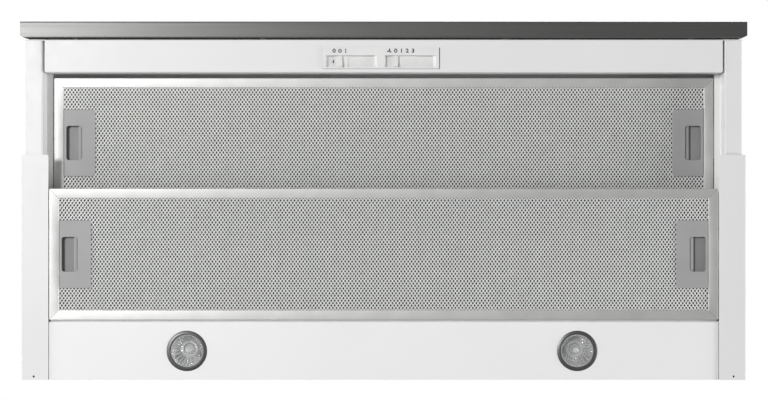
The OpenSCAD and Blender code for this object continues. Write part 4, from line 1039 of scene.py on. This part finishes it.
tabs = bmesh.new()
rivets = bmesh.new()
ribs = bmesh.new()
for outward, wall in zip((-1, 1), box_walls):
    for side in (-1, 1):
        corner = Matrix(((-side, 0, 0, side * box_side), (0, 0, outward, wall),
                         (0, 1, 0, 0), (0, 0, 0, 1)))
        tab = plate((0, box_tab_reach), box_tab_levels, (0, box_tab_thick))
        round_corners(tab, [(box_tab_reach, level) for level in box_tab_levels], box_tab_round)
        add(tabs, tab, corner)
        for level in rivet_levels:
            add(rivets, rivet(), corner @ Matrix.Translation((rivet_inset, level, box_tab_thick)))
        upright = Matrix(((side, 0, 0, 0), (0, 0, outward, wall), (0, 1, 0, 0), (0, 0, 0, 1)))
        for level in wall_rib_levels:
            add(ribs, rib(*wall_rib, level), upright)
for side in (-1, 1):
    for row in top_rib_rows:
        add(ribs, rib(*top_rib, row), Matrix.Translation((0, 0, box_top))
            @ Matrix.Diagonal((side, 1, 1, 1)))
fit(tabs, "box_tabs", white, "chassis")
fit(ribs, "box_ribs", white, "chassis", sharp=soft_edge)
fit(rivets, "box_rivets", aluminium, "chassis", sharp=soft_edge)

# ---------------------------------------------------------------------------------------
# Collar beads: two raised rings round the collar that hold a duct hose, and eight gussets
# on its flange, moulded with it in black plastic.

collar_radius = 0.0745
flange_top = 0.1985
bead_levels = (0.2130, 0.2260)
bead_size = (0.0013, 0.0018)
gusset_size = (0.0115, 0.0018, 0.0110)
gusset_toe = 0.0015
gusset_slope = (1, 0, 1.1)
gusset_turns = [22.5 + 45 * i for i in range(8)]
beads = bmesh.new()
for level in bead_levels:
    add(beads, turned(bead(collar_radius, level, *bead_size), 96),
        Matrix.Translation(collar_middle))
gusset = block(gusset_size,
               (collar_radius + gusset_size[0] / 2, 0, flange_top + gusset_size[2] / 2))
trim(gusset, (collar_radius + gusset_size[0], 0, flange_top + gusset_toe), gusset_slope)
for turn in gusset_turns:
    add(beads, gusset, Matrix.Translation(collar_middle)
        @ Matrix.Rotation(math.radians(turn), 4, "Z"))
gusset.free()
fit(beads, "collar_beads", black_plastic, "chassis", sharp=soft_edge)

# ---------------------------------------------------------------------------------------
# Flap ribs: three stiffening ribs on top of each non return flap, which run from its hinge
# towards its round edge. They are moulded with the flap in grey plastic.

stiffener_levels = (0.2059, 0.2073)
stiffener_half = 0.0007
stiffener_root = 0.0085
stiffener_ends = ((-0.0380, 0.0520), (0, 0.0640), (0.0380, 0.0520))
for flap, toward in (("flap_front", -1), ("flap_rear", 1)):
    stiffeners = bmesh.new()
    for x, end in stiffener_ends:
        run = sorted(collar_middle.y + toward * reach for reach in (stiffener_root, end))
        add(stiffeners, plate((x - stiffener_half, x + stiffener_half), run, stiffener_levels))
    fit(stiffeners, f"{flap}_ribs", grey_plastic, flap)

# ---------------------------------------------------------------------------------------
# Studio: the camera straight below, a key lamp to the left in front of the hood, a low
# lamp at each side, a fourth above for the top, an even white surround and a pale floor
# far below.

camera_data = bpy.data.cameras.new("camera")
camera_data.lens = 77.8
camera_data.sensor_width = 36
camera_data.clip_end = 100
camera = bpy.data.objects.new("camera", camera_data)
camera.location = (0.0004, -0.0002, -2.049)
camera.rotation_euler = (math.pi, 0, 0)
bpy.context.collection.objects.link(camera)
bpy.context.scene.camera = camera


def soft_lamp(name, place, aim, width, watts):
    """A square soft box, out of the camera's sight, that points at an aim."""
    light = bpy.data.lights.new(name, "AREA")
    light.size = width
    light.energy = watts
    box = bpy.data.objects.new(name, light)
    box.location = place
    box.rotation_euler = (Vector(aim) - Vector(place)).to_track_quat("-Z", "Y").to_euler()
    box.visible_camera = False
    bpy.context.collection.objects.link(box)


soft_lamp("key_lamp", (-1.65, -0.62, -3.0), (0, 0, 0), width=0.6, watts=69)
soft_lamp("right_lamp", (3.3, 0.4, -0.75), (0, 0, 0), width=1.2, watts=82)
soft_lamp("left_lamp", (-3.4, 0.2, -0.8), (0, 0, 0), width=1.2, watts=42)
soft_lamp("top_lamp", (1.2, -1.6, 2.6), (0, 0, 0.1), width=1.6, watts=60)

world = bpy.data.worlds.new("surround")
world.use_nodes = True
air = world.node_tree
base = air.nodes["Background"]
base.inputs["Color"].default_value = (1, 1, 1, 1)
base.inputs["Strength"].default_value = 0.17
seen = air.nodes.new("ShaderNodeBackground")
seen.inputs["Color"].default_value = (1, 1, 1, 1)
rays = air.nodes.new("ShaderNodeLightPath")
sight = rays.outputs["Is Camera Ray"]
for kind in ("Is Transmission Ray", "Is Glossy Ray"):
    either = air.nodes.new("ShaderNodeMath")
    either.operation = "MAXIMUM"
    air.links.new(sight, either.inputs[0])
    air.links.new(rays.outputs[kind], either.inputs[1])
    sight = either.outputs[0]
mix = air.nodes.new("ShaderNodeMixShader")
air.links.new(sight, mix.inputs[0])
air.links.new(base.outputs[0], mix.inputs[1])
air.links.new(seen.outputs[0], mix.inputs[2])
air.links.new(mix.outputs[0], air.nodes["World Output"].inputs["Surface"])
bpy.context.scene.world = world

floor_level = -5.2
floor_half = 20
floor_mesh = bmesh.new()
bmesh.ops.create_grid(floor_mesh, x_segments=1, y_segments=1, size=floor_half)
bmesh.ops.translate(floor_mesh, verts=floor_mesh.verts, vec=(0, 0, floor_level))
floor_data = bpy.data.meshes.new("floor")
floor_mesh.to_mesh(floor_data)
floor_mesh.free()
floor = bpy.data.objects.new("floor", floor_data)
floor_data.materials.append(new_finish("floor_paint", (0.8, 0.8, 0.8), 0.9)[0])
bpy.context.collection.objects.link(floor)

bpy.context.scene.view_settings.view_transform = "Standard"
